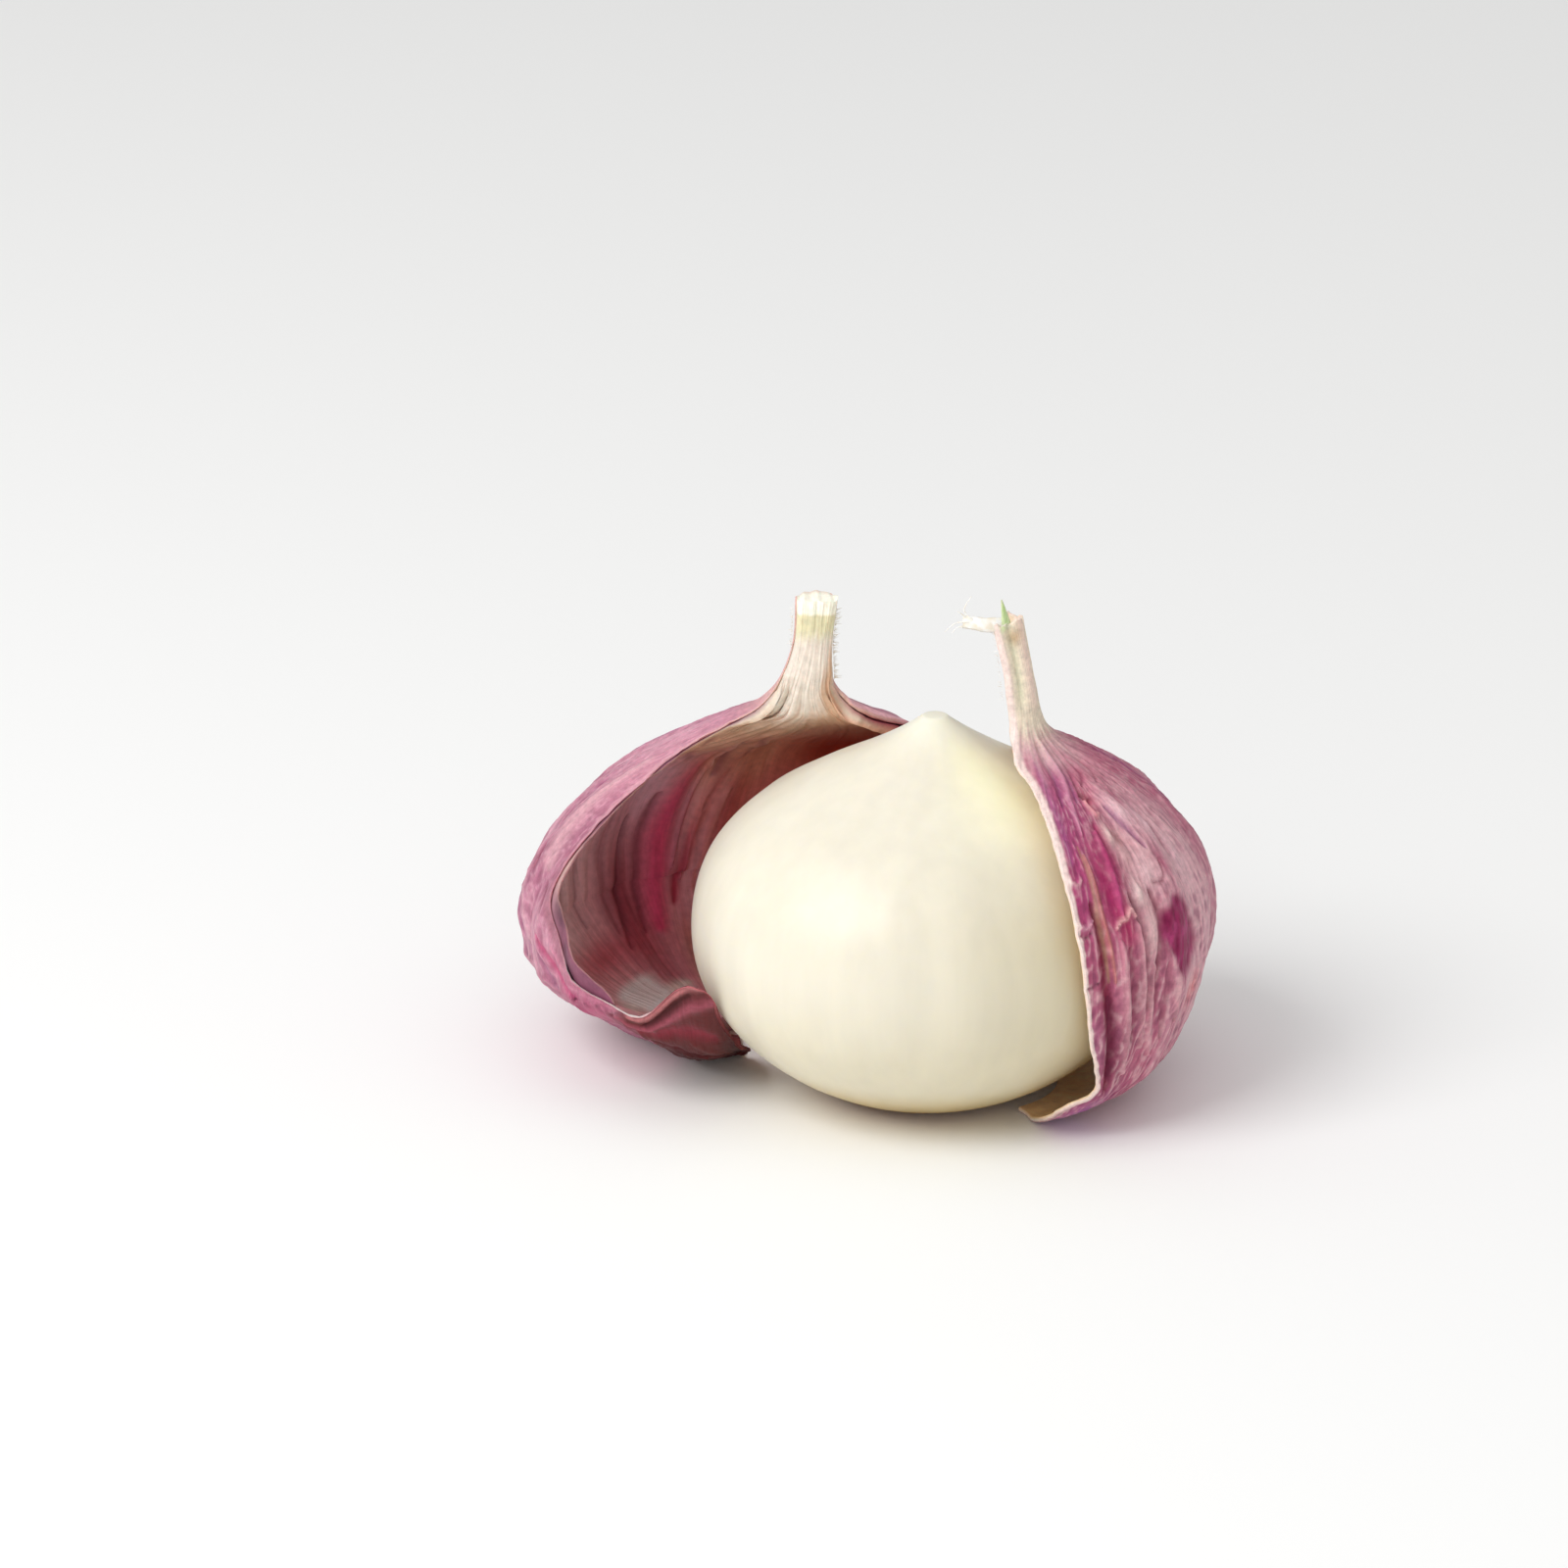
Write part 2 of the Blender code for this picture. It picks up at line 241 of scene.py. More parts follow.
FUZZY_EDGES = [
    Edge("left_neck_right", 70, 0.55, (1.0, -0.5, 0.3),
         [(-6.75, 7.9, 28.8), (-6.85, 7.9, 31.6), (-6.6, 7.9, 34.2)]),
    Edge("left_neck_left", 40, 0.4, (-0.8, -0.8, 0.2),
         [(-9.9, 7.8, 31.0), (-9.75, 7.8, 34.6)]),
    Edge("left_neck_cut", 40, 0.3, (0.0, -0.4, 1.0),
         [(-9.2, 7.7, 34.9), (-8.1, 7.2, 35.0), (-6.9, 7.7, 34.9)]),
    Edge("right_neck_front", 40, 0.35, (-1.0, -0.6, 0.3),
         [(5.35, -3.1, 31.0), (5.0, -3.15, 34.0), (4.6, -3.25, 36.6)]),
    Edge("right_neck_tip", 30, 0.35, (0.2, -0.5, 1.0),
         [(4.7, -3.3, 36.8), (5.6, -3.3, 36.6), (6.6, -2.4, 36.7)]),
]

# Tones that several marks share
# A pale pink painted as sheen on wrinkle crests and as a highlight along the band's inner edge
PAINTED_SHEEN_PINK = "#f0c6c8"
CRIMSON = "#7d1c36"
MAROON = "#703042"
PLUM = "#8d4f79"

# Marks on the left half's outer face: a light patch under the neck, the neck's pink, and the band beside
# the cup
LEFT_GROUNDS = [Patch("#e0a8b8", 0.7, 0.0, -196, 23.5, 16, 3.0)]
LEFT_MARKS = [
    Wash("#dab2aa", 0.85, [], [(25, 28)]),
    Patch("#cf8f9f", 0.5, 0.0, -172, 22, 14, 5),
    # Painted highlight along the band's inner edge, on a slight ridge
    Stroke(PAINTED_SHEEN_PINK, 0.4, 0.05, 0.9, [(-178, 22.5), (-174, 19.5), (-171, 16.5), (-168, 15)]),
    Stroke(CRIMSON, 0.5, -0.15, 0.3, [(-176, 16), (-175, 15.2), (-174.5, 14.2)]),
    Stroke(MAROON, 0.55, -0.15, 0.4, [(-165, 14.2), (-162, 13.3), (-160, 12.4)]),
    Stroke("#b8426f", 0.75, -0.15, 0.5, [(-159, 10.6), (-153, 9.3), (-147, 8.3), (-140, 7.3)]),
    Stroke("#d88aa0", 0.5, 0.08, 0.3, [(-152, 10.4), (-145, 9.2), (-138, 8.4), (-131, 7.6)]),
    Patch("#b4486f", 0.7, 0.0, -137, 5.5, 13, 2.6),
    # The back rim's pink, raised to near white as painted light that lifts it out of the neck's shade
    Patch("#f6bcc4", 0.95, 0.0, -346, 25.0, 18, 2.6),
    Stroke("#8a5a78", 0.5, -0.12, 0.3, [(-160, 9.6), (-152, 7.4), (-142, 5.4), (-132, 4.0)]),
    Stroke(PLUM, 0.4, -0.1, 0.35, [(-178, 13), (-172, 9), (-162, 6.5)]),
    Stroke(PLUM, 0.35, -0.1, 0.3, [(-188, 20), (-184, 15), (-178, 10), (-170, 6)]),
    Stroke("#e3b6c0", 0.35, 0.1, 0.3, [(-183, 21), (-178, 16), (-173, 12), (-166, 8.6), (-158, 6.6)]),
]
# Marks on the tongue, over its dark ground: the crumpled crest, its folds, the tan scrap at its foot, and
# painted shadow where it tucks under the clove
TONGUE_TONE = "#5c201c"
TONGUE_MARKS = [
    Stroke("#8e3040", 0.85, -0.25, 0.5, [(-129, 6.6), (-121, 5.6), (-112, 4.9), (-100, 4.3)]),
    Stroke("#a85464", 0.8, 0.2, 0.35, [(-127, 7.0), (-119, 6.2), (-111, 5.7), (-104, 5.8), (-98, 6.0)]),
    Stroke("#c0787a", 0.75, 0.06, 0.3, [(-124, 7.4), (-115, 6.9), (-108, 6.7), (-101, 6.6)]),
    Stroke("#3c1418", 0.7, -0.25, 0.3, [(-119, 6.5), (-112, 6.2), (-106, 6.2)]),
    Stroke("#6a1c28", 0.8, -0.2, 0.5, [(-121, 4.4), (-112, 3.3), (-104, 2.4)]),
    Stroke("#8c3034", 0.6, 0.1, 0.3, [(-113, 2.8), (-106, 2.2), (-98, 1.8)]),
    Stroke("#6e2824", 0.5, 0.1, 0.3, [(-108, 4.2), (-101, 3.4), (-95, 2.8)]),
    # Painted shadow: near black where the tongue tucks under the clove and where its foot lifts off the table
    Patch("#2c0e0a", 0.8, 0.0, -94, 3.2, 5, 2.6),
    Patch("#3c0c0e", 0.75, 0.0, -112, 2.4, 10, 1.4),
]

# Marks on the left outer skin's inside and on its torn rim: the pale hem, reddening to the dark tongue
LEFT_INSIDE_MARKS = [
    Wash("#e6c8b8", 1.0, [], [(25, 28)]),
    Wash("#d6cbc9", 1.0, [(-156, -142)], [(12, 9)]),
    Wash("#6e2426", 0.95, [(-122, -115)], [(12, 9)]),
]
LEFT_RIM_MARKS = [
    Wash("#d8cbc8", 0.9, [(-138, -131)], [(10, 7)]),
    Wash("#b4525e", 0.9, [(-121, -114)], [(10, 7)]),
    Wash("#571a1e", 0.9, [(-112, -104)], [(6.5, 4.5)]),
    Wash("#dfb8ac", 1.0, [], [(23, 27)]),
]

# Marks on the lining: the pink far side, lit up as painted light, a painted pool of light under the flare, and
# the dark fold first; then the magenta pleats and the creases between them, the pale root plate and the brown
# wall behind the clove
LINING_GROUNDS = [
    # The far side's grey-pink, raised to near white as painted light glowing through the thin skin
    Patch("#fce6e6", 0.9, 0.0, -194, 12, 24, 10),
    # A painted pool of light up under the neck's flare, where the cup lies in shade
    Patch("#ffd4e4", 0.95, 0.0, -236, 16, 20, 4.5),
    Patch("#9a3648", 0.85, 0.0, -229, 5.5, 8.5, 6),
]
LINING_MARKS = [
    Wash("#a87850", 0.6, [(-240, -250)], [(5, 2)]),
    Stroke("#e8487e", 0.85, 0.3, 1.3, [(-246, 21), (-242.5, 17), (-240.5, 12), (-240, 7), (-238, 3.5)]),
    Stroke("#7c2438", 0.6, -0.25, 0.4, [(-237, 15), (-236, 11), (-235.5, 7), (-233, 3.5)]),
    Stroke("#b8284a", 0.9, -0.12, 0.65,
           [(-253, 14), (-251.8, 11.6), (-249.4, 8.6), (-246.8, 6.6), (-245, 5)]),
    Stroke("#a02c54", 0.7, -0.3, 0.35, [(-254.5, 20), (-254, 17.5), (-253.4, 15), (-252.6, 12.6)]),
    Stroke("#b04868", 0.6, -0.15, 0.3, [(-250.5, 20), (-248.6, 16.5), (-246.8, 13.5), (-246, 10.5)]),
    Patch("#b8303c", 0.6, 0.0, -257.5, 12, 3, 4),
    Stroke("#d0768c", 0.6, 0.5, 0.45, [(-255, 21), (-253.5, 16), (-251.8, 12), (-250, 9), (-248, 6.5)]),
    Stroke("#c9758a", 0.5, 0.35, 0.3, [(-248.5, 18), (-247.2, 15), (-245.5, 11), (-243.8, 8)]),
    Stroke("#dd8f88", 0.7, 0.3, 0.22, [(-256.5, 14.5), (-255.8, 11.5), (-255, 9), (-252, 5.5)]),
    Stroke("#7a3040", 0.45, -0.2, 0.4, [(-222, 15), (-221, 11), (-222, 7), (-222, 4)]),
    Stroke("#7a3040", 0.4, -0.2, 0.35, [(-214, 12), (-212, 8), (-211, 5)]),
    Stroke("#7a3040", 0.35, -0.15, 0.35, [(-205, 14), (-204, 10), (-203, 6)]),
    Stroke("#5e1626", 0.5, -0.3, 0.5, [(-230, 13), (-228.5, 9), (-226.5, 5), (-223, 3)]),
    Stroke("#e0b4ae", 0.35, 0.15, 0.3, [(-217.5, 14), (-216.5, 10), (-215, 6.5)]),
    Stroke("#dfb0ac", 0.3, 0.12, 0.3, [(-209, 15), (-207.5, 10.5), (-206, 7)]),
    Stroke("#5e1626", 0.4, -0.15, 0.3, [(-196, 10.6), (-192, 10), (-188, 9.4)]),
    Patch("#c03a50", 0.7, 0.0, -206, 3.1, 26, 1.2),
    Stroke("#f4ebe2", 0.85, 0.1, 1.2, [(-165, 1.4), (-188, 0.9), (-203, 0.65), (-220, 0.6), (-236, 0.7)]),
    Patch("#ffb4a8", 0.6, 0.0, -252, 14.0, 5, 4.5),
    Stroke("#d98f7c", 0.6, 0.1, 0.4, [(-300, 23.5), (-308, 23.8), (-316, 24.2)]),
]

# The pale floor of the cup, which shows over the hem: the root plate's pale, raised to pure white as painted
# light in the cup's shade
HEM_FLOOR_MARKS = [Wash("#ffffff", 0.95, [(-180, -190), (-226, -215)], [(1.8, 1.3)])]
# Painted shadow as dark dashes on the strip of lining that shows beside the band, under the outer skin's torn
# rim, and the strip's pale ridge
STRIP_SHADOWS_AND_RIDGE = [
    Stroke("#4a2c3a", 0.85, 0.0, 0.5, [(-156, 14.6), (-153, 13.4), (-150.5, 12.4)]),
    Stroke("#4a2c3a", 0.8, 0.0, 0.5, [(-148, 11.2), (-145, 10.0), (-142, 8.8)]),
    Stroke("#5c2c42", 0.8, 0.0, 0.5, [(-138, 7.4), (-134, 6.0), (-131, 4.6)]),
    Stroke("#b88c98", 0.6, 0.0, 0.4, [(-162, 15.6), (-155, 12.6), (-147, 9.6), (-139, 6.4), (-134, 3.6)]),
]
# Marks over the lining's tan: the neck's pale cut, and the dark creases where its strands spread into the cup
NECK_MARKS = [
    Wash("#fffbe8", 1.0, [], [(34.0, 34.2)]),
    Stroke("#7c3a58", 0.6, -0.15, 0.42, [(-246.5, 21.6), (-249.5, 19.6), (-251.5, 17.6), (-251.5, 16)]),
    Stroke("#8c5058", 0.6, -0.2, 0.3, [(-252, 22.4), (-255, 20.4), (-256.5, 18.2)]),
    Stroke("#e8b8b0", 0.5, 0.25, 0.3, [(-243, 21.6), (-247, 19.2), (-249, 17)]),
    Stroke("#a05a60", 0.5, -0.15, 0.3, [(-214, 24.4), (-222, 22.6), (-230, 20.6), (-238, 18.6)]),
    Stroke("#93545c", 0.45, -0.15, 0.25, [(-200, 25.4), (-206, 23.6), (-214, 21.4)]),
]

# The lining's torn rim: cream in the neck and pale at its cut
LINING_RIM_MARKS = [
    Wash("#e6d6c4", 1.0, [], [(24, 27)]),
    Wash("#fffbe8", 1.0, [], [(34.2, 34.6)]),
]

# Marks on the right half's outer face, from the rim beside the clove round to the far edge: first the
# grounds, under the vein net, then patches and the long folds and creases
RIGHT_GROUNDS = [
    Patch("#b07896", 0.55, 0.0, -59, 7, 5, 4),
    Patch("#b03a76", 0.7, 0.0, -60, 20.5, 5, 4.5),
    Patch("#8f5064", 0.7, 0.0, -50, 8, 6, 5),
    Patch("#d8a8ac", 0.8, 0.0, -38, 20.6, 8, 3.0),
    Patch("#e8c0c4", 0.7, 0.0, -18, 19, 14, 7),
    Patch("#deb2ba", 0.65, 0.0, -12, 10, 18, 6),
    Patch("#c4808e", 0.6, 0.0, -25, 25.6, 22, 1.6),
    Patch("#a86ab4", 0.75, 0.0, -50, 1.0, 8, 1.8),
    Patch("#94406e", 0.6, 0.0, -54, 24.6, 8, 2.6),
    Patch("#cf5f58", 0.5, 0.0, -21, 9.6, 3, 1.3),
]
RIGHT_MARKS = [
    Patch("#9c2058", 0.85, -0.15, -52.6, 19.6, 2.5, 2.9),
    Patch("#b02a5c", 0.7, -0.1, -50.0, 17.0, 2.2, 1.7),
    Patch("#e8c2c2", 0.85, 0.4, -41.2, 16.0, 2.7, 2.2),
    # Thin pale bars on the blister loops: raised crests, lightened as painted highlights
    Patch("#f4d8d4", 0.9, 0.4, -43.3, 18.7, 2.0, 0.8),
    Patch("#f2d2cc", 0.9, 0.32, -44.6, 22.5, 2.3, 0.7),
    Patch("#dfb4b4", 0.6, 0.25, -41.6, 21.2, 2.6, 0.6),
    Patch("#9b6a66", 0.5, -0.15, -40.0, 22.2, 2.0, 0.5),
    Patch("#a83a66", 0.7, -0.2, -29.6, 20.1, 2.0, 0.9),
    Patch("#f2cdd2", 0.7, 0.2, -33.0, 23.6, 4.0, 1.0),
    Patch("#ecc6cc", 0.6, 0.2, -25.0, 22.2, 3.4, 1.2),
    Patch("#e9c0c8", 0.6, 0.15, -20.0, 19.4, 3.0, 1.6),
    Patch("#efcace", 0.6, 0.2, -37.0, 19.6, 3.0, 1.2),
    Patch("#a2506c", 0.5, -0.15, -27.4, 24.2, 2.6, 0.6),
    Patch("#a2586c", 0.5, -0.15, -22.0, 20.9, 1.6, 1.4),
    Patch("#a83a50", 0.6, -0.25, -42.4, 24.6, 3.2, 0.5),
    Stroke(CRIMSON, 0.85, -0.4, 0.4,
           [(-58.6, 19), (-57.4, 16), (-56.9, 13), (-55.6, 10.5), (-53.8, 8.2), (-52, 5.6), (-50.5, 4)]),
    Stroke("#6d2340", 0.75, -0.3, 0.5, [(-55.8, 12), (-54.6, 9.6), (-52.8, 7.2), (-50.6, 5)]),
    Stroke("#bd7f6c", 0.6, 0.2, 0.2, [(-56.6, 21.8), (-56, 20.2), (-56.2, 18.2), (-55.6, 16), (-54.8, 13.2)]),
    Stroke("#a38262", 0.6, 0.0, 0.16,
           [(-57.4, 22.4), (-57.0, 20.2), (-57.3, 18.2), (-56.8, 16), (-56.1, 13.2)]),
    Stroke("#c04a80", 0.6, 0.2, 0.3, [(-48.6, 23), (-49, 21), (-50.2, 19), (-50.6, 17.9)]),
    Stroke("#9c2258", 0.75, -0.12, 0.5, [(-47.4, 23.4), (-47.8, 21.6), (-48.4, 19.8)]),
    Stroke("#dcb0b3", 0.6, 0.16, 0.16, [(-63.8, 20.6), (-61.5, 20.3), (-59.6, 20.6)]),
    Stroke("#e8b0c0", 0.7, 0.2, 0.18, [(-64, 17.9), (-61.5, 17.5), (-59.0, 17.9)]),
    Stroke(MAROON, 0.55, -0.18, 0.13, [(-63.8, 17.2), (-61.5, 16.9), (-59.6, 17.2)]),
    Stroke("#6a3a4c", 0.75, -0.16, 0.13, [(-63.6, 13.3), (-61.2, 13.1), (-58.6, 13.3)]),
    Stroke("#eab8b4", 0.75, 0.32, 0.2,
           [(-53.4, 17.0), (-51.6, 17.5), (-49.6, 17.6), (-48.2, 18.1), (-47.0, 17.4)]),
    Stroke("#d8a2aa", 0.5, 0.3, 0.42, [(-52.6, 16), (-52.2, 13.4), (-51.2, 10.6), (-49.4, 8), (-47, 5.4)]),
    Stroke("#dba8ae", 0.55, 0.32, 0.36, [(-47, 17), (-46.4, 14.4), (-45.6, 12), (-44.2, 9.4), (-42, 7)]),
    Stroke("#8c4458", 0.6, -0.3, 0.5, [(-50, 15.4), (-49.4, 13), (-48.4, 10.6), (-46.4, 8)]),
    Stroke("#7a3a4c", 0.65, -0.32, 0.36,
           [(-46.4, 19), (-45.0, 17.2), (-44.6, 15), (-43.8, 12.6), (-42.2, 10)]),
    Stroke("#8a4a58", 0.55, -0.28, 0.34,
           [(-38.4, 18.6), (-37.6, 16.6), (-38.6, 14.4), (-40.2, 12.2), (-39.6, 10)]),
    Stroke("#dcaab0", 0.5, 0.28, 0.36, [(-41.0, 13.2), (-41.4, 11), (-40.4, 8.6), (-37.6, 6)]),
    Stroke("#8e4c60", 0.5, -0.24, 0.3, [(-36.4, 13), (-36.2, 11), (-36.6, 9.4), (-34.6, 7)]),
    Stroke("#d8a6aa", 0.45, 0.2, 0.3, [(-33, 12), (-32.6, 10), (-30.4, 8)]),
    Stroke("#9a5a68", 0.55, -0.18, 0.16, [(-36.8, 19.1), (-34.6, 18.9), (-32.2, 19.3), (-30.6, 20.4)]),
    Stroke(PLUM, 0.7, -0.22, 0.24, [(-36.6, 24.0), (-34.6, 22.6), (-32.6, 21.2)]),
    Stroke("#7e5048", 0.5, -0.15, 0.22, [(-31.4, 8.2), (-29.0, 8.6), (-26.6, 9.4)]),
    Stroke(CRIMSON, 0.7, -0.2, 0.2, [(-44.4, 25.2), (-42.4, 24.4), (-40.0, 24.6)]),
    Stroke("#f0a8a8", 0.6, 0.25, 0.2, [(-46.0, 24.6), (-44.2, 23.7), (-41.6, 23.8)]),
    Stroke("#8a3454", 0.55, -0.14, 0.18, [(-20, 28.4), (-31, 26.8), (-34.5, 25.8), (-40, 25.2)]),
    Stroke(PLUM, 0.6, -0.16, 0.2, [(-42, 28.4), (-41.5, 27.2), (-46, 26), (-49.4, 24.6)]),
    Stroke("#8d3a5c", 0.6, -0.16, 0.2, [(-34, 28.4), (-35, 27.2), (-40.5, 26), (-46.4, 24.8)]),
    Stroke(PLUM, 0.5, -0.18, 0.22, [(-54, 28), (-55, 26), (-57, 24.6)]),
    Stroke("#e0a0b8", 0.5, 0.14, 0.22, [(-48, 28), (-48.5, 26.6), (-52.4, 25), (-54, 23)]),
    Stroke("#a06aa0", 0.3, 0.0, 0.4, [(-66, 27), (-63.5, 25), (-61.5, 23.6), (-61.5, 21.5)]),
    Stroke("#8a3450", 0.5, -0.14, 0.16, [(-10, 28), (-18, 26.6), (-24, 25.6), (-30, 25.2)]),
]
# The green tip of the right neck and the tan band under it, and the cream of its inside
RIGHT_TIP_MARKS = [
    Patch("#b99a72", 0.75, 0.0, -62, 36.1, 20, 0.7),
    Wash("#dde8b2", 0.9, [(-70, -90)], [(36.5, 37.1)]),
]
RIGHT_INSIDE_MARKS = [Wash("#e8d2b8", 1.0, [], [(25, 29)])]
# The dark diamond on the right half: its middle and its half sizes
DIAMOND_AZIMUTH = -30.0
DIAMOND_HEIGHT = 14.6
DIAMOND_WIDE = 8.5
DIAMOND_HIGH = 3.5


def linear(hex_colour, alpha=1.0):
    """A linear RGBA colour from an sRGB hex value."""
    parts = [int(hex_colour[i:i + 2], 16) / 255 for i in (1, 3, 5)]
    return (*(c / 12.92 if c <= 0.04045 else ((c + 0.055) / 1.055) ** 2.4 for c in parts), alpha)


def add(tree, kind, inputs=None, stops=None, **settings):
    """Adds a node: its settings, a ramp's stops, and each input's value or the socket that it comes from."""
    node = tree.nodes.new(kind)
    for name, value in settings.items():
        setattr(node, name, value)
    if stops:
        points = node.color_ramp.elements
        for point, (place, colour) in zip(points, stops):
            point.position = place
            point.color = linear(colour)
    for socket, value in (inputs or {}).items():
        if isinstance(value, bpy.types.NodeSocket):
            tree.links.new(value, node.inputs[socket])
        else:
            node.inputs[socket].default_value = value
    return node


def smooth_step(start, full, x):
    """From 0 at the start to 1 where it is full, whichever of the two is the greater."""
    f = np.clip((x - start) / (full - start), 0, 1)
    return f * f * (3 - 2 * f)


def bump_at(x, centre, width):
    """A smooth hump of height 1."""
    return np.exp(-(((x - centre) / width) ** 2))


def lattice_noise(x, y, seed):
    """Gradient noise from about -1 to 1 with one feature to each unit, the same on every run."""
    side = 256
    turn = np.random.default_rng(seed).uniform(0, 2 * np.pi, (side, side))
    x0, y0 = np.floor(x).astype(int), np.floor(y).astype(int)
    fx, fy = x - x0, y - y0
    ease_x = fx**3 * (fx * (6 * fx - 15) + 10)
    ease_y = fy**3 * (fy * (6 * fy - 15) + 10)
    total = np.zeros(np.broadcast(x, y).shape)
    for i in (0, 1):
        for j in (0, 1):
            angle = turn[(x0 + i) % side, (y0 + j) % side]
            slope = np.cos(angle) * (fx - i) + np.sin(angle) * (fy - j)
            total += slope * (ease_x if i else 1 - ease_x) * (ease_y if j else 1 - ease_y)
    return 1.5 * total


def folded(noise):
    """The noise folded into sharp crests, from 0 in its valleys to 1."""
    return 1 - np.minimum(1, 1.6 * np.abs(noise))


def along(stations, t):
    """The Catmull-Rom curve through the stations, at each t from 0 to their count less 1."""
    table = np.array(stations, float)
    last = len(table) - 1
    i = np.clip(np.asarray(t).astype(int), 0, last - 1)
    before, here, there, after = (table[np.clip(i + n, 0, last)] for n in (-1, 0, 1, 2))
    f = (t - i)[..., None]
    return 0.5 * (
        2 * here
        + (there - before) * f
        + (2 * before - 5 * here + 4 * there - after) * f**2
        + (3 * here - before - 3 * there + after) * f**3
    )


def clove_radius(height):
    """The clove's radius in mm at a height in mm."""
    curve = along(CLOVE_PROFILE, np.linspace(0, len(CLOVE_PROFILE) - 1, 400))
    return np.interp(height, curve[:, 1], curve[:, 0], right=0)


def even_places(half, rows):
    """Places along the stations, evenly spaced along the front rim, and their distance from the root."""
    t = np.linspace(0, len(half) - 1, 3000)
    height, _, _, radius, front, _ = along(half, t).T
    step = np.hypot(np.diff(height), np.diff(radius))
    swing = RIM_CROWDING * radius[1:] * np.radians(np.diff(front))
    length = np.concatenate([[0], np.cumsum(step)])
    rim_length = np.concatenate([[0], np.cumsum(np.hypot(step, swing))])
    places = np.interp(np.linspace(0, rim_length[-1], rows), rim_length, t)
    return places, np.interp(places, t, length)


def crowded(count, centre, width, extra):
    """Numbers from 0 to 1 that lie closer together round a centre, where the finest detail is."""
    place = np.linspace(0, 1, 2000)
    density = 1 + extra * bump_at(place, centre, width)
    filled = np.concatenate([[0], np.cumsum((density[1:] + density[:-1]) / 2)])
    return np.interp(np.linspace(0, 1, count), filled / filled[-1], place)


def pleat(azimuth, height):
    """The broad puckers of the dry skin in mm, from the neck to the root plate."""
    wander = 0.5 * np.sin(height / 5)
    wave = np.sin(PLEATS_ROUND * azimuth + wander)
    wave = wave + 0.6 * np.sin(0.61 * PLEATS_ROUND * azimuth - wander + 1.3)
    body = np.sin(np.pi * np.clip(height / PLEATED_HEIGHT, 0, 1))
    return PLEAT_DEPTH * wave * body


def hem_hollow(degrees, height, radius):
    """How far in mm the left half's hem is tucked in beside the tongue and under it."""
    depth = 0
    for hollow in HEM_HOLLOWS:
        near = bump_at(degrees, hollow.azimuth, hollow.wide) * bump_at(height, hollow.height, hollow.high)
        depth = depth + hollow.depth * near
    return depth * smooth_step(*HOLLOW_RADII, radius)


def surface_normal(point):
    across = np.gradient(point, axis=1)
    up = np.gradient(point, axis=0)
    normal = np.cross(across, up)
    return normal / np.maximum(np.linalg.norm(normal, axis=-1, keepdims=True), 1e-9)


class Skin:
    """A smooth skin surface on a grid: places and normals in mm, and what a pattern on it needs."""

    def __init__(self, half, places, ragged=0.0, seed=0, tuck=None):
        t, distance = even_places(half, ROWS)
        height, axis_x, axis_y, radius, front, back = along(half, t).T[:, :, None]
        u = places[None, :]
        shape = (ROWS, len(places))
        self.distance = np.broadcast_to(distance[:, None], shape)
        self.from_top = self.distance.max() - self.distance
        rip = lattice_noise(distance[:, None] / LONG_RIP, 0 * u + 0.5, seed)
        rip = rip + 0.6 * lattice_noise(distance[:, None] / SHORT_RIP, 0 * u + 0.5, seed + 1)
        rip = np.degrees(ragged / np.maximum(radius, 4)) * rip
        front = front + rip * np.exp(-u / RIP_REACH)
        back = back + rip * np.exp(-(1 - u) / RIP_REACH)
        self.degrees = front + (back - front) * u
        self.azimuth = np.radians(self.degrees)
        self.height = np.broadcast_to(np.maximum(0, height), shape)
        self.radius = np.broadcast_to(radius, shape)
        self.u = np.broadcast_to(u, shape)
        self.across = self.azimuth * BULB_RADIUS
        self.rim = np.minimum(u, 1 - u) * radius * np.abs(np.radians(back - front))
        reach = radius + pleat(self.azimuth, self.height)
        if tuck:
            reach = reach - tuck(self.degrees, self.height, self.radius)
        self.point = np.stack([
            axis_x + reach * np.cos(self.azimuth),
            axis_y + reach * np.sin(self.azimuth),
            self.height,
        ], axis=-1)
        self.away = np.stack([np.cos(self.azimuth), np.sin(self.azimuth), 0 * self.azimuth], axis=-1)
        self.turn_normals_out()

    def turn_normals_out(self):
        self.normal = surface_normal(self.point)
        if (self.normal * self.away).sum() < 0:
            self.normal = -self.normal

    def lower(self, torn):
        """Lowers each point by this many mm."""
        self.point = self.point - np.array([0, 0, 1]) * torn[..., None]
        self.turn_normals_out()

    def at(self, depth):
        """The surface this many mm under the face; a negative depth stands out of it."""
        return self.point - self.normal * np.asarray(depth)[..., None]

    def noise(self, wide, long, seed):
        """Noise with features this many mm wide across the skin and this long down it."""
        return lattice_noise(self.across / wide, self.distance / long, seed)

    def strands(self, count, long, seed):
        """Noise with this many strands from rim to rim, each about this many mm long."""
        return lattice_noise(self.u * count, self.distance / long, seed)

    def body(self):
        """1 over the body, easing to 0 at the root, where all that runs along the skin closes up."""
        return smooth_step(2.5, 9, self.radius)

    def above(self, low, high):
        """From 0 below the lower height to 1 above the upper one."""
        return smooth_step(low, high, self.height)

    def level(self, height, high):
        """A soft belt round a height."""
        return bump_at(self.height, height, high)

    def past(self, start, full):
        """From 0 at the first azimuth to 1 at the second."""
        return smooth_step(start, full, self.degrees)

    def around(self, azimuth, wide):
        """A soft stripe at an azimuth."""
        return bump_at(self.degrees, azimuth, wide)

    def front_rim(self, inner, outer):
        """1 within the first distance of the front rim, easing to 0 at the second."""
        return (1 - smooth_step(inner, outer, self.rim)) * (self.u < 0.5)

    def back_rim(self, inner, outer):
        """The same for the back rim."""
        return (1 - smooth_step(inner, outer, self.rim)) * (self.u > 0.5)


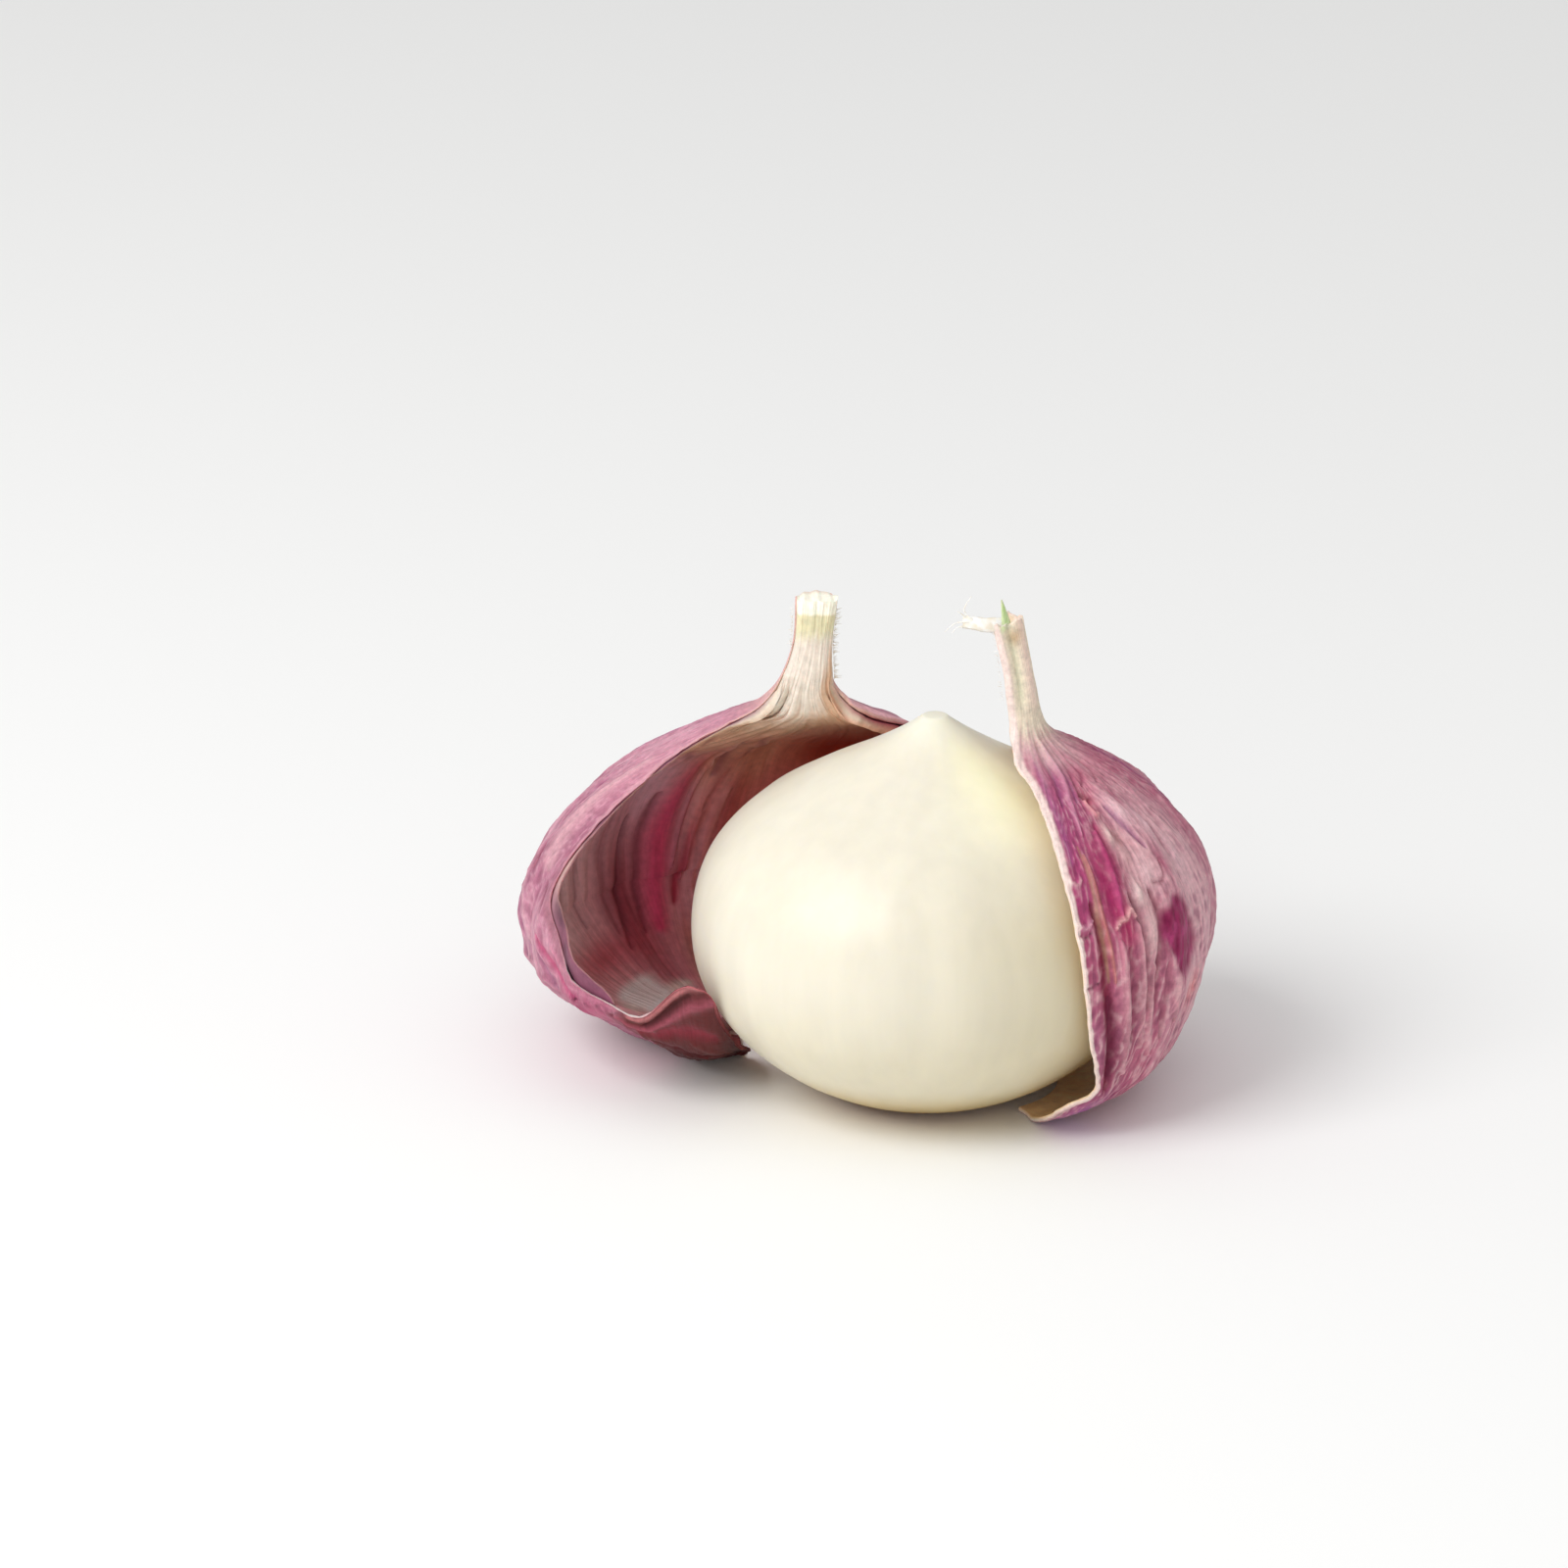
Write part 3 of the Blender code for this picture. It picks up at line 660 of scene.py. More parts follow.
class Paint:
    """Tones and relief laid on one face of a skin: clouded grounds first, then marks."""

    def __init__(self, skin, tones, seed, marks=()):
        self.skin = skin
        self.relief = np.zeros(skin.azimuth.shape)
        streak = skin.noise(1.5, 12, seed) * skin.body()
        cloud = skin.noise(6, 9, seed + 1)
        value = np.clip(0.5 + 0.45 * streak + 0.35 * cloud, 0, 1) * (len(tones) - 1)
        table = np.array([linear(tone)[:3] for tone in tones])
        first = np.minimum(value.astype(int), len(tones) - 2)
        self.tone = table[first] + (table[first + 1] - table[first]) * (value - first)[..., None]
        self.put(marks)

    def blend(self, tone, share):
        self.tone = self.tone + (np.array(linear(tone)[:3]) - self.tone) * share[..., None]

    def lay(self, tone, share, rise=0.0):
        share = np.clip(share, 0, 1)
        self.blend(tone, share)
        self.relief = self.relief + rise * share

    def shade(self, factor):
        self.tone = self.tone * factor[..., None]

    def put(self, marks):
        """Puts on patches, strokes and washes, in their order."""
        shapes = {Patch: self.patch, Stroke: self.stroke, Wash: self.wash}
        for mark in marks:
            near = shapes[type(mark)](mark)
            self.blend(mark.tone, mark.share * near)
            self.relief = self.relief + mark.rise * near

    def patch(self, mark):
        return self.skin.around(mark.azimuth, mark.wide) * self.skin.level(mark.height, mark.high)

    def wash(self, mark):
        share = np.ones(self.skin.azimuth.shape)
        for edge in mark.azimuths:
            share = share * self.skin.past(*edge)
        for edge in mark.heights:
            share = share * self.skin.above(*edge)
        return share

    def stroke(self, mark):
        """How near each point is to the stroke's line, which thins out to its ends."""
        skin, last = self.skin, len(mark.path) - 1
        rows = skin.distance[:, 0]
        azimuth, height = np.array(mark.path, float).T
        distance = np.interp(height, skin.height[:, 0], rows)
        route = np.hypot(np.diff(np.radians(azimuth)) * BULB_RADIUS, np.diff(distance)).sum()
        t = np.linspace(0, last, max(12, int(3 * route / mark.width)))
        line = along(np.stack([np.radians(azimuth), distance], axis=-1), t)
        near = np.zeros(skin.azimuth.shape)
        for (turn, place), part in zip(line, np.linspace(0.03, 0.97, len(t))):
            width = mark.width * math.sin(math.pi * part) ** 0.4
            low, high = np.searchsorted(rows, (place - 2.5 * width, place + 2.5 * width))
            rows_here = slice(low, max(high, low + 1))
            gap = ((skin.azimuth[rows_here] - turn) * skin.radius[rows_here]) ** 2
            gap = gap + (skin.distance[rows_here] - place) ** 2
            near[rows_here] = np.maximum(near[rows_here], np.exp(-gap / width**2))
        return near


def keep_clear(point, room):
    """Moves points out from the clove's axis until they have this room, in mm, to its flesh."""
    # Points well inside the clove are the root plate's, and stay
    reach = np.hypot(point[..., 0], point[..., 1])
    below = point[..., 2] < CLOVE_TOP
    least = np.where(below, clove_radius(point[..., 2]) * (1 + CLOVE_LOBE) + room, 0)
    grow = np.maximum(1, least / np.maximum(reach, 1e-6))
    grow = np.where(reach < 0.6 * least, 1, grow)
    return point * np.stack([grow, grow, np.ones_like(grow)], axis=-1)


def plain_mesh(name, points, faces, finishes, finish_of_face, tones, uv=None, body=None):
    """A smooth-shaded piece from points in mm, with its tones, its grain map and its body share."""
    mesh = bpy.data.meshes.new(name)
    mesh.from_pydata((np.asarray(points) * MM).tolist(), [], faces)
    for finish in finishes:
        mesh.materials.append(finish)
    mesh.polygons.foreach_set("material_index", np.asarray(finish_of_face, np.int32))
    mesh.shade_smooth()
    mesh.set_sharp_from_angle(angle=math.radians(SHARP_DEGREES))
    count = len(points)
    tint = mesh.attributes.new("tint", "FLOAT_COLOR", "POINT")
    colours = np.concatenate([tones, np.ones((count, 1))], axis=1)
    tint.data.foreach_set("color", colours.astype(np.float32).ravel())
    if uv is not None:
        corner = np.zeros(len(mesh.loops), np.int32)
        mesh.loops.foreach_get("vertex_index", corner)
        layer = mesh.uv_layers.new(name="grain_mm")
        layer.data.foreach_set("uv", np.asarray(uv, np.float32)[corner].ravel())
        share = mesh.attributes.new("body", "FLOAT", "POINT")
        share.data.foreach_set("value", np.asarray(body, np.float32).ravel())
    mesh.update()
    piece = bpy.data.objects.new(name, mesh)
    bpy.context.scene.collection.objects.link(piece)
    return piece


def round_the_edge(grid):
    """The grid's border as one loop: along its first row, up its last column, and back."""
    return np.concatenate([grid[0], grid[1:, -1], grid[-1, -2::-1], grid[-2:0:-1, 0]])


def torn_lip(face, back):
    """The ridge of a sheet's rounded torn rim, which stands out a little from between its two sides."""
    middle = (face + back) / 2
    inner = np.pad(middle[1:-1, 1:-1], ((1, 1), (1, 1), (0, 0)), "edge")
    out = round_the_edge(middle) - round_the_edge(inner)
    out /= np.maximum(np.linalg.norm(out, axis=-1, keepdims=True), 1e-9)
    gap = np.linalg.norm(round_the_edge(face) - round_the_edge(back), axis=-1, keepdims=True)
    return round_the_edge(middle) + out * np.minimum(LIP_SHARE * gap, LIP_MOST)


def closed_sheet(name, skin, face, back, tones, finishes):
    """A thin closed body: a fine grid on one face, a coarser one on its back, and a rounded torn rim.

    The tones are those of the face, the back and the rim; so are the finishes.
    """
    rows, columns = face.shape[:2]
    coarse = back[::STRIDE, ::STRIDE]
    lip = torn_lip(face, back)
    points = np.concatenate([face.reshape(-1, 3), lip, coarse.reshape(-1, 3)])

    def quads(numbers):
        a, b, c, d = numbers[:-1, :-1], numbers[:-1, 1:], numbers[1:, 1:], numbers[1:, :-1]
        return np.stack([a, b, c, d], axis=-1).reshape(-1, 4)

    fine_numbers = np.arange(rows * columns).reshape(rows, columns)
    lip_numbers = rows * columns + np.arange(len(lip))
    coarse_numbers = rows * columns + len(lip) + np.arange(coarse[..., 0].size).reshape(coarse.shape[:2])
    edge, coarse_edge = round_the_edge(fine_numbers), round_the_edge(coarse_numbers)
    next_edge, next_lip = np.roll(edge, -1), np.roll(lip_numbers, -1)
    strip = np.stack([next_edge, edge, lip_numbers, next_lip], axis=-1)
    folds = [next_lip[i * STRIDE:(i + 1) * STRIDE][::-1] for i in range(len(coarse_edge))]
    join = np.concatenate([
        np.array(folds), lip_numbers[::STRIDE, None], coarse_edge[:, None], np.roll(coarse_edge, -1)[:, None],
    ], axis=1)
    parts = [quads(fine_numbers), quads(coarse_numbers)[:, ::-1], strip, join]
    row, column = rows // 2, columns // 2
    a, b, c = face[row, column], face[row, column + 1], face[row + 1, column + 1]
    if np.dot(np.cross(b - a, c - a), a - back[row, column]) < 0:
        parts = [part[:, ::-1] for part in parts]
    faces = [face_points for part in parts for face_points in part.tolist()]
    finish = np.repeat([0, 1, 2, 2], [len(part) for part in parts])

    def spread(fine, lip_values, plain):
        width = fine.shape[-1]
        coarse = plain[::STRIDE, ::STRIDE]
        return np.concatenate([fine.reshape(-1, width), lip_values, coarse.reshape(-1, width)])

    face_tone, back_tone, rim_tone = tones
    grain = np.stack([skin.across, skin.distance], axis=-1)
    uv = spread(grain, round_the_edge(grain), grain)
    body = skin.body()[..., None]
    share = spread(body, round_the_edge(body), body)
    colours = spread(face_tone, round_the_edge(rim_tone), back_tone)
    return plain_mesh(name, points, faces, finishes, finish, colours, uv, share)


def tongue_pull(skin):
    """How far in mm the left rim is pulled into a tongue where its foot comes round in front of the clove."""
    foot = LEFT_HALF[3]
    point = skin.point
    azimuth = np.degrees(np.arctan2(point[..., 1] - foot.axis_y, point[..., 0] - foot.axis_x))
    there = (point[..., 2] < TONGUE_CEILING) & (azimuth > TONGUE_AZIMUTHS[0]) & (azimuth < 0)
    share = there * smooth_step(*TONGUE_AZIMUTHS, azimuth) * smooth_step(*TONGUE_HEIGHTS, point[..., 2])
    return share[..., None] * np.array([0, *TONGUE_PULL])


def wrinkles(skin, spacing, seed):
    """Sharp dry wrinkles that run from neck to root, from 0 in the valleys to 1 on the crests."""
    drift = 0.9 * skin.noise(7, 10, seed) + 0.3 * skin.noise(2.2, 6, seed + 1)
    phase = skin.across / spacing + drift
    crest = 1 - np.abs(2 * (phase - np.floor(phase)) - 1)
    strength = 0.6 + 0.5 * skin.noise(3.1, 7, seed + 2)
    fine = folded(skin.noise(1.1, 6, seed + 3))
    return np.clip(crest**1.6 * strength + 0.25 * fine, 0, 1.3) / 1.3


def paper_net(skin, wide, long, seed):
    """The net of fine raised veins in dry garlic paper, from 0 in its meshes to 1 on the veins."""
    return folded(skin.noise(wide, long, seed)) * skin.body()


def ease_ends(skin):
    """From 0 at the root and a little at the top to 1 along the body."""
    top = 1 - TOP_EASE_SHARE * smooth_step(*TOP_EASE, skin.from_top)
    return smooth_step(*ROOT_EASE, skin.distance) * top


def torn_top(skin, deep, seed):
    """How far in mm the neck's cut end is torn down, unevenly, by up to the given depth."""
    torn = deep * (0.5 + 0.5 * lattice_noise(skin.degrees / TEAR_DEGREES, 0 * skin.degrees + 0.5, seed))
    return torn * smooth_step(TEAR_REACH, 0, skin.from_top)


def tunic_faces(skin, relief, thickness):
    """The face and the back of an outer skin, both kept clear of the clove."""
    face = keep_clear(skin.at(-relief), CLOVE_CLEARANCE + TUNIC_THICKNESS)
    back = keep_clear(skin.at(thickness - relief), CLOVE_CLEARANCE)
    return face, back


def purple_veins(paint, zone, seed):
    """Long purple veins from neck to root over part of an outer skin."""
    veins = smooth_step(0.1, 0.8, paint.skin.noise(1.3, 14, seed))
    paint.lay("#9a4f83", 0.5 * zone * veins)


def make_clove(flesh):
    """The peeled clove: turned, slightly out of round, with faint ribs, a blunt tip and a flat scar."""
    curve = along(CLOVE_PROFILE, np.linspace(0, len(CLOVE_PROFILE) - 1, CLOVE_RINGS))
    rings = np.array(CLOVE_SCAR + curve.tolist() + CLOVE_TIP)
    azimuth = np.linspace(0, 2 * np.pi, CLOVE_SIDES, endpoint=False)[None, :]
    radius, height = rings[:, :1], rings[:, 1:]
    body = np.sin(np.pi * np.clip(height / CLOVE_TOP, 0, 1))
    # Two sets of faint ribs in mm, and two broad lobes as a share of the radius
    ribs = 0.05 * np.sin(13 * azimuth + 0.7) + 0.04 * np.sin(22 * azimuth + 2.0 * np.sin(3 * azimuth))
    lobes = 1 + CLOVE_LOBE * (np.cos(2 * azimuth + 0.6) + 0.6 * np.cos(3 * azimuth - 1.0)) / 1.6
    reach = radius * lobes + ribs * body
    lean = TIP_LEAN * smooth_step(*LEAN_HEIGHTS, height)
    points = np.stack([
        reach * np.cos(azimuth) + lean,
        reach * np.sin(azimuth),
        height + 0 * azimuth,
    ], axis=-1)
    flat = points.reshape(-1, 3).tolist() + [[0, 0, 0.0], [TIP_LEAN, 0, CLOVE_TIP[-1][1]]]
    low, high = len(flat) - 2, len(flat) - 1
    top = (len(rings) - 1) * CLOVE_SIDES
    neighbours = [(i, (i + 1) % CLOVE_SIDES) for i in range(CLOVE_SIDES)]
    faces = []
    for a in range(0, top, CLOVE_SIDES):
        b = a + CLOVE_SIDES
        faces += [(a + i, a + j, b + j, b + i) for i, j in neighbours]
    for i, j in neighbours:
        faces += [(low, j, i), (high, top + i, top + j)]
    tones = clove_tones(np.array(flat))
    return plain_mesh("clove_flesh", flat, faces, [flesh], np.zeros(len(faces)), tones)


def clove_tones(points):
    """Ivory, yellower low down and brown on the scar, with painted light and shade on the shoulder, side and
    foot.
    """
    x, y, z = points.T
    degrees = np.degrees(np.arctan2(y, x))
    radius = np.hypot(x, y)
    tones = np.tile(np.array(linear("#e5dfce")[:3]), (len(points), 1))
    for tone, share in (
        # Painted highlight: a near-white glow on the right shoulder
        ("#fffad6", 0.9 * bump_at(degrees, -48, 26) * bump_at(z, 25, 3.6)),
        # Painted shade: darker beige down the right side, below the shoulder
        ("#d3c7a2", 0.75 * bump_at(degrees, -45, 34) * (1 - smooth_step(16, 24, z))),
        ("#dcd3b4", 0.5 * (1 - smooth_step(6, 14, z))),
        ("#cdb478", 0.9 * (1 - smooth_step(1.0, 5.0, z))),
        # Painted warm contact shadow: yellow-brown at the foot, where the clove meets the table
        ("#a86c1c", 0.9 * (1 - smooth_step(0.05, 1.8, z))),
        ("#8d6a3c", 0.8 * (1 - smooth_step(2.5, 4.4, radius)) * (z < 1)),
        ("#eceada", 0.7 * smooth_step(26.5, 28.4, z)),
    ):
        tones += (np.array(linear(tone)[:3]) - tones) * share[:, None]
    return tones


def outer_half(half):
    """The same half with its front rim torn back from the lining's, and its back rim in the neck."""
    return [
        station._replace(
            front=station.front - RIM_STEP * bump_at(station.height, RIM_STEP_HEIGHT, RIM_STEP_RISE),
            back=station.back + NECK_STEP * float(smooth_step(*NECK_STEP_HEIGHTS, station.height)),
        )
        for station in half
    ]


def paint_left(skin, crest, net):
    """The left outer skin's tones: rose, purple-veined round the back, with a pink neck and a dark tongue."""
    paint = Paint(skin, ["#985a74", "#ae7086", "#ba7e92", "#ca94a4"], 9, LEFT_GROUNDS)
    round_back = skin.past(-188, -205) * skin.body()
    purple_veins(paint, round_back, 43)
    paint.lay("#d8a8b4", 0.4 * smooth_step(0.6, 0.97, net))
    paint.lay("#7c3f58", 0.35 * smooth_step(0.4, 0.05, net) * skin.body())
    # Painted sheen on the wrinkle crests round the back
    paint.lay(PAINTED_SHEEN_PINK, 0.4 * smooth_step(0.45, 0.8, crest) * round_back)
    paint.put(LEFT_MARKS)
    ragged = 4 * skin.noise(2.2, 1.1, 17)
    tongue = smooth_step(*TONGUE_EDGE, skin.degrees + ragged) * (1 - skin.above(*TONGUE_TOP))
    paint.lay(TONGUE_TONE, 0.96 * tongue)
    paint.put(TONGUE_MARKS)
    frayed_rim = skin.rim + 0.08 * lattice_noise(skin.distance / 0.5, skin.u, 19)
    paint.lay("#dba8b0", 0.5 * (1 - smooth_step(0.12, 0.42, frayed_rim)) * skin.above(15, 19))
    paint.lay("#a06a78", 0.85 * skin.front_rim(0.5, 1.3) * skin.level(12.5, 3.6))
    return paint


def make_left_tunic(finishes):
    """The outer skin of the left half: a wide cup of paper, its half of the neck, and the tongue in front."""
    places = crowded(COLUMNS, *LEFT_CROWDING)
    skin = Skin(outer_half(LEFT_HALF), places, ragged=0.14, seed=5, tuck=hem_hollow)
    skin.point = skin.point + tongue_pull(skin)
    standing = sum(share * skin.around(azimuth, wide) for share, azimuth, wide in LEFT_CUT_STANDS)
    skin.lower(torn_top(skin, LEFT_CUT_DEPTH, 3) * (1 - standing))
    # The net's meshes are drawn out into streaks round the back
    net = paper_net(skin, 0.85, 1.3, 13)
    net = net + (paper_net(skin, 0.7, 4.2, 14) - net) * 0.7 * skin.past(-200, -225)
    crest = wrinkles(skin, 1.6, 11)
    paint = paint_left(skin, crest, net)
    calm = 0.4 + 0.6 * smooth_step(2, 8, skin.rim)
    curl = np.clip(1 - skin.rim / CURL_REACH, 0, 1) ** 2 * np.where(skin.height < CURL_CEILING, *RIM_CURLS)
    relief = LEFT_WRINKLES * (crest - 0.5) * calm + LEFT_NET * (net - 0.5) + curl
    relief = relief * ease_ends(skin) + paint.relief
    thickness = TUNIC_THICKNESS + (NECK_TUNIC_THICKNESS - TUNIC_THICKNESS) * skin.above(*NECK_HEIGHTS)
    # The torn front rim thins out from the face, so its back stays on the lining
    taper = RIM_TAPER * thickness * skin.front_rim(0.0, RIM_TAPER_REACH)
    face, back = tunic_faces(skin, relief - taper, thickness - taper)
    inside = Paint(skin, ["#a8485a", "#b9606a"], 15, LEFT_INSIDE_MARKS)
    rim = Paint(skin, ["#c08c9a", "#cc9ca4"], 16, LEFT_RIM_MARKS)
    tones = (paint.tone, inside.tone, rim.tone)
    return closed_sheet("left_tunic", skin, face, back, tones, finishes)


def inner_half(half):
    """The same half for the lining: its rims trimmed back, and short of the tongue."""
    front, back = INNER_TRIMS
    return [
        station._replace(front=min(station.front, INNER_FRONT_LIMIT) - front, back=station.back + back)
        for station in half
    ]


def paint_lining(skin):
    """The lining's tones, from the neck's cream down through tan to maroon and magenta deep in the cup."""
    paint = Paint(skin, ["#d68f9c", "#e29eaa", "#ecb2ba"], 33, LINING_GROUNDS)
    wall = skin.past(-254.5, -259) * smooth_step(1.5, 5, skin.radius)
    paint.lay("#e0887c", 0.92 * wall)
    paint.lay("#bc3a20", 0.9 * wall * skin.level(20.5, 4.2) * skin.past(-262, -290))
    tan = smooth_step(15, 23.5, skin.height + 3.5 * skin.around(-255, 18))
    paint.lay("#ecb08c", 0.9 * tan * skin.past(-240, -250) * skin.past(-310, -280))
    paint.put(LINING_MARKS)
    paint.shade(1 + 0.16 * skin.noise(0.55, 16, 35) * skin.body())
    # The root plate's pale, raised to pure white as painted light
    paint.put(HEM_FLOOR_MARKS)
    front_rim, back_rim = skin.front_rim(0.5, 1.3), skin.back_rim(0.5, 1.4)
    patchy = smooth_step(0.2, 0.7, lattice_noise(skin.distance / 2.2, skin.u * 60, 37))
    paint.lay("#b98490", 0.75 * front_rim)
    paint.lay("#e0b8be", 0.5 * front_rim * patchy)
    paint.lay("#eea48e", 0.85 * back_rim)
    # The neck's strands spread into the cup, so its tan and cream start unevenly and higher up on the right
    fan = skin.strands(26, 9, 38)
    start = skin.height + 0.5 * skin.noise(2.5, 3, 39) + 0.9 * fan
    start = start + 1.4 * bump_at(skin.u, 0.42, 0.2) - 3.8 * smooth_step(0.6, 0.85, skin.u)
    paint.lay("#e8ac8c", 0.75 * smooth_step(14.5, 20.0, start) * skin.past(-232, -250))
    paint.lay("#ecc0a2", 0.95 * smooth_step(18.0, 23.0, start))
    paint.lay("#cfae92", 0.9 * bump_at(start, 26.0, 1.5))
    paint.lay("#e8dccf", smooth_step(25.5, 28.6, start))
    paint.lay("#b58a78", 0.3 * smooth_step(0.25, 0.8, -fan) * bump_at(start, 27.0, 3.5))
    paint.lay("#a02810", 0.9 * skin.level(19.0, 4.0) * skin.past(-262, -280))
    paint.lay("#eeb49c", 0.8 * back_rim * skin.level(24.5, 2.5))
    paint.lay("#dfd9a8", 0.7 * smooth_step(31.6, 33.1, skin.height + 0.4 * fan))
    paint.put(NECK_MARKS)
    return paint


def paint_lining_outside(skin):
    """The lining's hidden side, with the dark strip of it that shows beside the outer skin's torn rim."""
    paint = Paint(skin, ["#a24a58", "#b86070"], 45)
    bare = skin.front_rim(2.6, 3.6)
    paint.lay("#865466", bare)
    # The painted shadow of the gap under the outer skin's rim, and the pale ridge
    paint.put(STRIP_SHADOWS_AND_RIDGE)
    paint.lay("#dcb8ae", 0.7 * bare * skin.level(16, 1.8))
    paint.lay("#96486a", 0.7 * bare * skin.level(4.5, 3.5))
    paint.lay("#e8d6c6", skin.above(*NECK_HEIGHTS))
    return paint


def lining_depth(skin):
    """How deep in mm the lining lies under the bulb's face: least at its rims and in the neck."""
    rim_depth = np.where(skin.u < 0.5, *RIM_LINING_DEPTHS)
    depth = LINING_DEPTH + (rim_depth - LINING_DEPTH) * (1 - smooth_step(*RIM_LINING_REACH, skin.rim))
    depth = depth + (NECK_LINING_DEPTH - depth) * skin.above(*NECK_HEIGHTS)
    return depth - BACK_RIM_RISE * skin.above(*BACK_RIM_HEIGHTS) * smooth_step(*BACK_RIM_PLACES, skin.u)


def neck_core(skin, back):
    """The neck's pale core: a bundle of strands that bulges forward between the two rims of the half."""
    left, right = back[:, :1], back[:, -1:]
    chord = left + (right - left) * (0.5 - 0.5 * np.cos(np.pi * skin.u))[..., None]
    strands = folded(skin.strands(7, 8, 41)) + 0.4 * folded(skin.strands(17, 6, 42))
    bulge = NECK_BULGE * np.sin(np.pi * skin.u) ** 0.6 * (1 + 0.12 * (strands - 0.8))
    return chord - np.array([0, 1, 0]) * (bulge + NECK_PROUD)[..., None]


def core_share(skin):
    """From 0 in the open cup to 1 where the core fills the neck, from lower down where the funnel flares."""
    uneven = skin.height + 0.5 * skin.strands(30, 7, 38)
    flared = smooth_step(*FUNNEL_LEFT, skin.u) * (1 - smooth_step(*FUNNEL_RIGHT, skin.u))
    return flared * smooth_step(*FUNNEL_FILL, uneven) + (1 - flared) * smooth_step(*NECK_FILL, uneven)


def make_lining(finishes):
    """The inner skin of the left half, grown together with the pale core of the neck and the root plate."""
    places = crowded(COLUMNS, *LINING_CROWDING)
    skin = Skin(inner_half(LEFT_HALF), places, ragged=0.16, seed=23, tuck=hem_hollow)
    paint = paint_lining(skin)
    lip = np.clip(1 - skin.rim / LINING_LIP_REACH, 0, 1) ** 2
    relief = LINING_WRINKLES * (wrinkles(skin, 1.35, 31) - 0.5) - LINING_LIP * lip
    relief = relief * ease_ends(skin) + paint.relief * (1 - skin.above(*NECK_HEIGHTS))
    depth = lining_depth(skin)
    root = ROOT_PLATE * (1 - smooth_step(*ROOT_RADII, skin.radius))
    thick = LINING_THICKNESS + BACK_RIM_THICKENING * bump_at(skin.u, 1, 0.07) * skin.level(24.2, 2.6)
    back = skin.at(depth)
    face = skin.at(depth + thick + root + relief)
    face = face + (neck_core(skin, back) - face) * core_share(skin)[..., None]
    cut = torn_top(skin, CORE_CUT_DEPTH, 47)[..., None] * np.array([0, 0, 1])
    face = keep_clear(face, CLOVE_CLEARANCE) - cut
    outside = paint_lining_outside(skin)
    rim = Paint(skin, ["#9a706e", "#ab8280"], 46)
    rim.lay("#dd9480", 0.8 * (skin.u > 0.5))
    rim.put(LINING_RIM_MARKS)
    tones = (paint.tone, outside.tone, rim.tone)
    return closed_sheet("lining_and_neck", skin, face, back - cut, tones, finishes)


def diamond_stain(skin):
    """The dark diamond on the right half, with its uneven edge."""
    tilt = (skin.degrees - DIAMOND_AZIMUTH) / DIAMOND_WIDE
    rise = (skin.height - DIAMOND_HEIGHT) / DIAMOND_HIGH + 0.35 * tilt
    outline = (np.abs(tilt) ** 1.4 + np.abs(rise) ** 1.4) ** (1 / 1.4)
    return smooth_step(1.15, 0.75, outline + 0.12 * skin.noise(1.2, 1.2, 59))


def paint_right(skin):
    """The right half's tones and folds: magenta beside the rim, rose and mauve outward, cream up the neck."""
    paint = Paint(skin, ["#a04a68", "#b05a76", "#bc6c84", "#c48092"], 53)
    purple_veins(paint, skin.past(2, 14) * skin.body(), 55)
    paint.put(RIGHT_GROUNDS)
    # The net is a little fainter over the shoulder
    strength = 1 - 0.35 * skin.above(14, 20)
    net = 0.5 * (paper_net(skin, 0.8, 1.3, 57) + paper_net(skin, 0.6, 3.4, 58))
    paint.lay("#e6c0c2", 0.5 * smooth_step(0.55, 0.9, net) * strength)
    paint.lay("#7c3a58", 0.55 * smooth_step(0.5, 0.15, net) * strength * skin.body())
    paint.relief += RIGHT_NET * (net - 0.5) * strength * ease_ends(skin)
    paint.put(RIGHT_MARKS)
    diamond = diamond_stain(skin)
    speckle = skin.noise(0.6, 1.3, 60)
    paint.lay("#8e1a52", 0.92 * diamond, -0.3)
    paint.lay("#b8487c", 0.6 * diamond * smooth_step(0.1, 0.6, speckle))
    paint.lay("#7c1c44", 0.6 * diamond * smooth_step(0.1, 0.6, -speckle))
    start = skin.height + 0.7 * skin.noise(1.2, 3.5, 62)
    paint.lay("#d2aeb0", 0.75 * smooth_step(25.6, 27.6, start))
    paint.lay("#e8dac4", smooth_step(27.2, 29.4, start))
    # The strip of the neck is hollow down its middle, greenish and greyed there as painted shade in the
    # groove, between two pale edges
    strip = skin.above(29.5, 31.5)
    paint.lay("#d9d6ba", 0.8 * strip * skin.around(-72, 12), -0.3)
    paint.lay("#f3e3d2", 0.9 * strip * skin.past(-88, -98), 0.12)
    paint.lay("#f0d6c8", 0.85 * strip * skin.around(-38, 16), 0.12)
    paint.put(RIGHT_TIP_MARKS)
    # The torn rim shows bare pale fibre, in a band that widens up to the shoulder
    width = 0.24 + 0.42 * skin.above(14, 25)
    near_rim = skin.rim * np.where(skin.u < 0.5, 1, 1.6)
    fray = 0.07 * lattice_noise(skin.distance / 0.6, skin.u * 40, 63)
    bare = 1 - smooth_step(0.45, 1.05, (near_rim + fray) / width)
    paint.lay("#efd9d2", 0.92 * bare)
    paint.lay("#966870", 0.85 * bare * (1 - skin.above(1.5, 5.0)))
    return paint


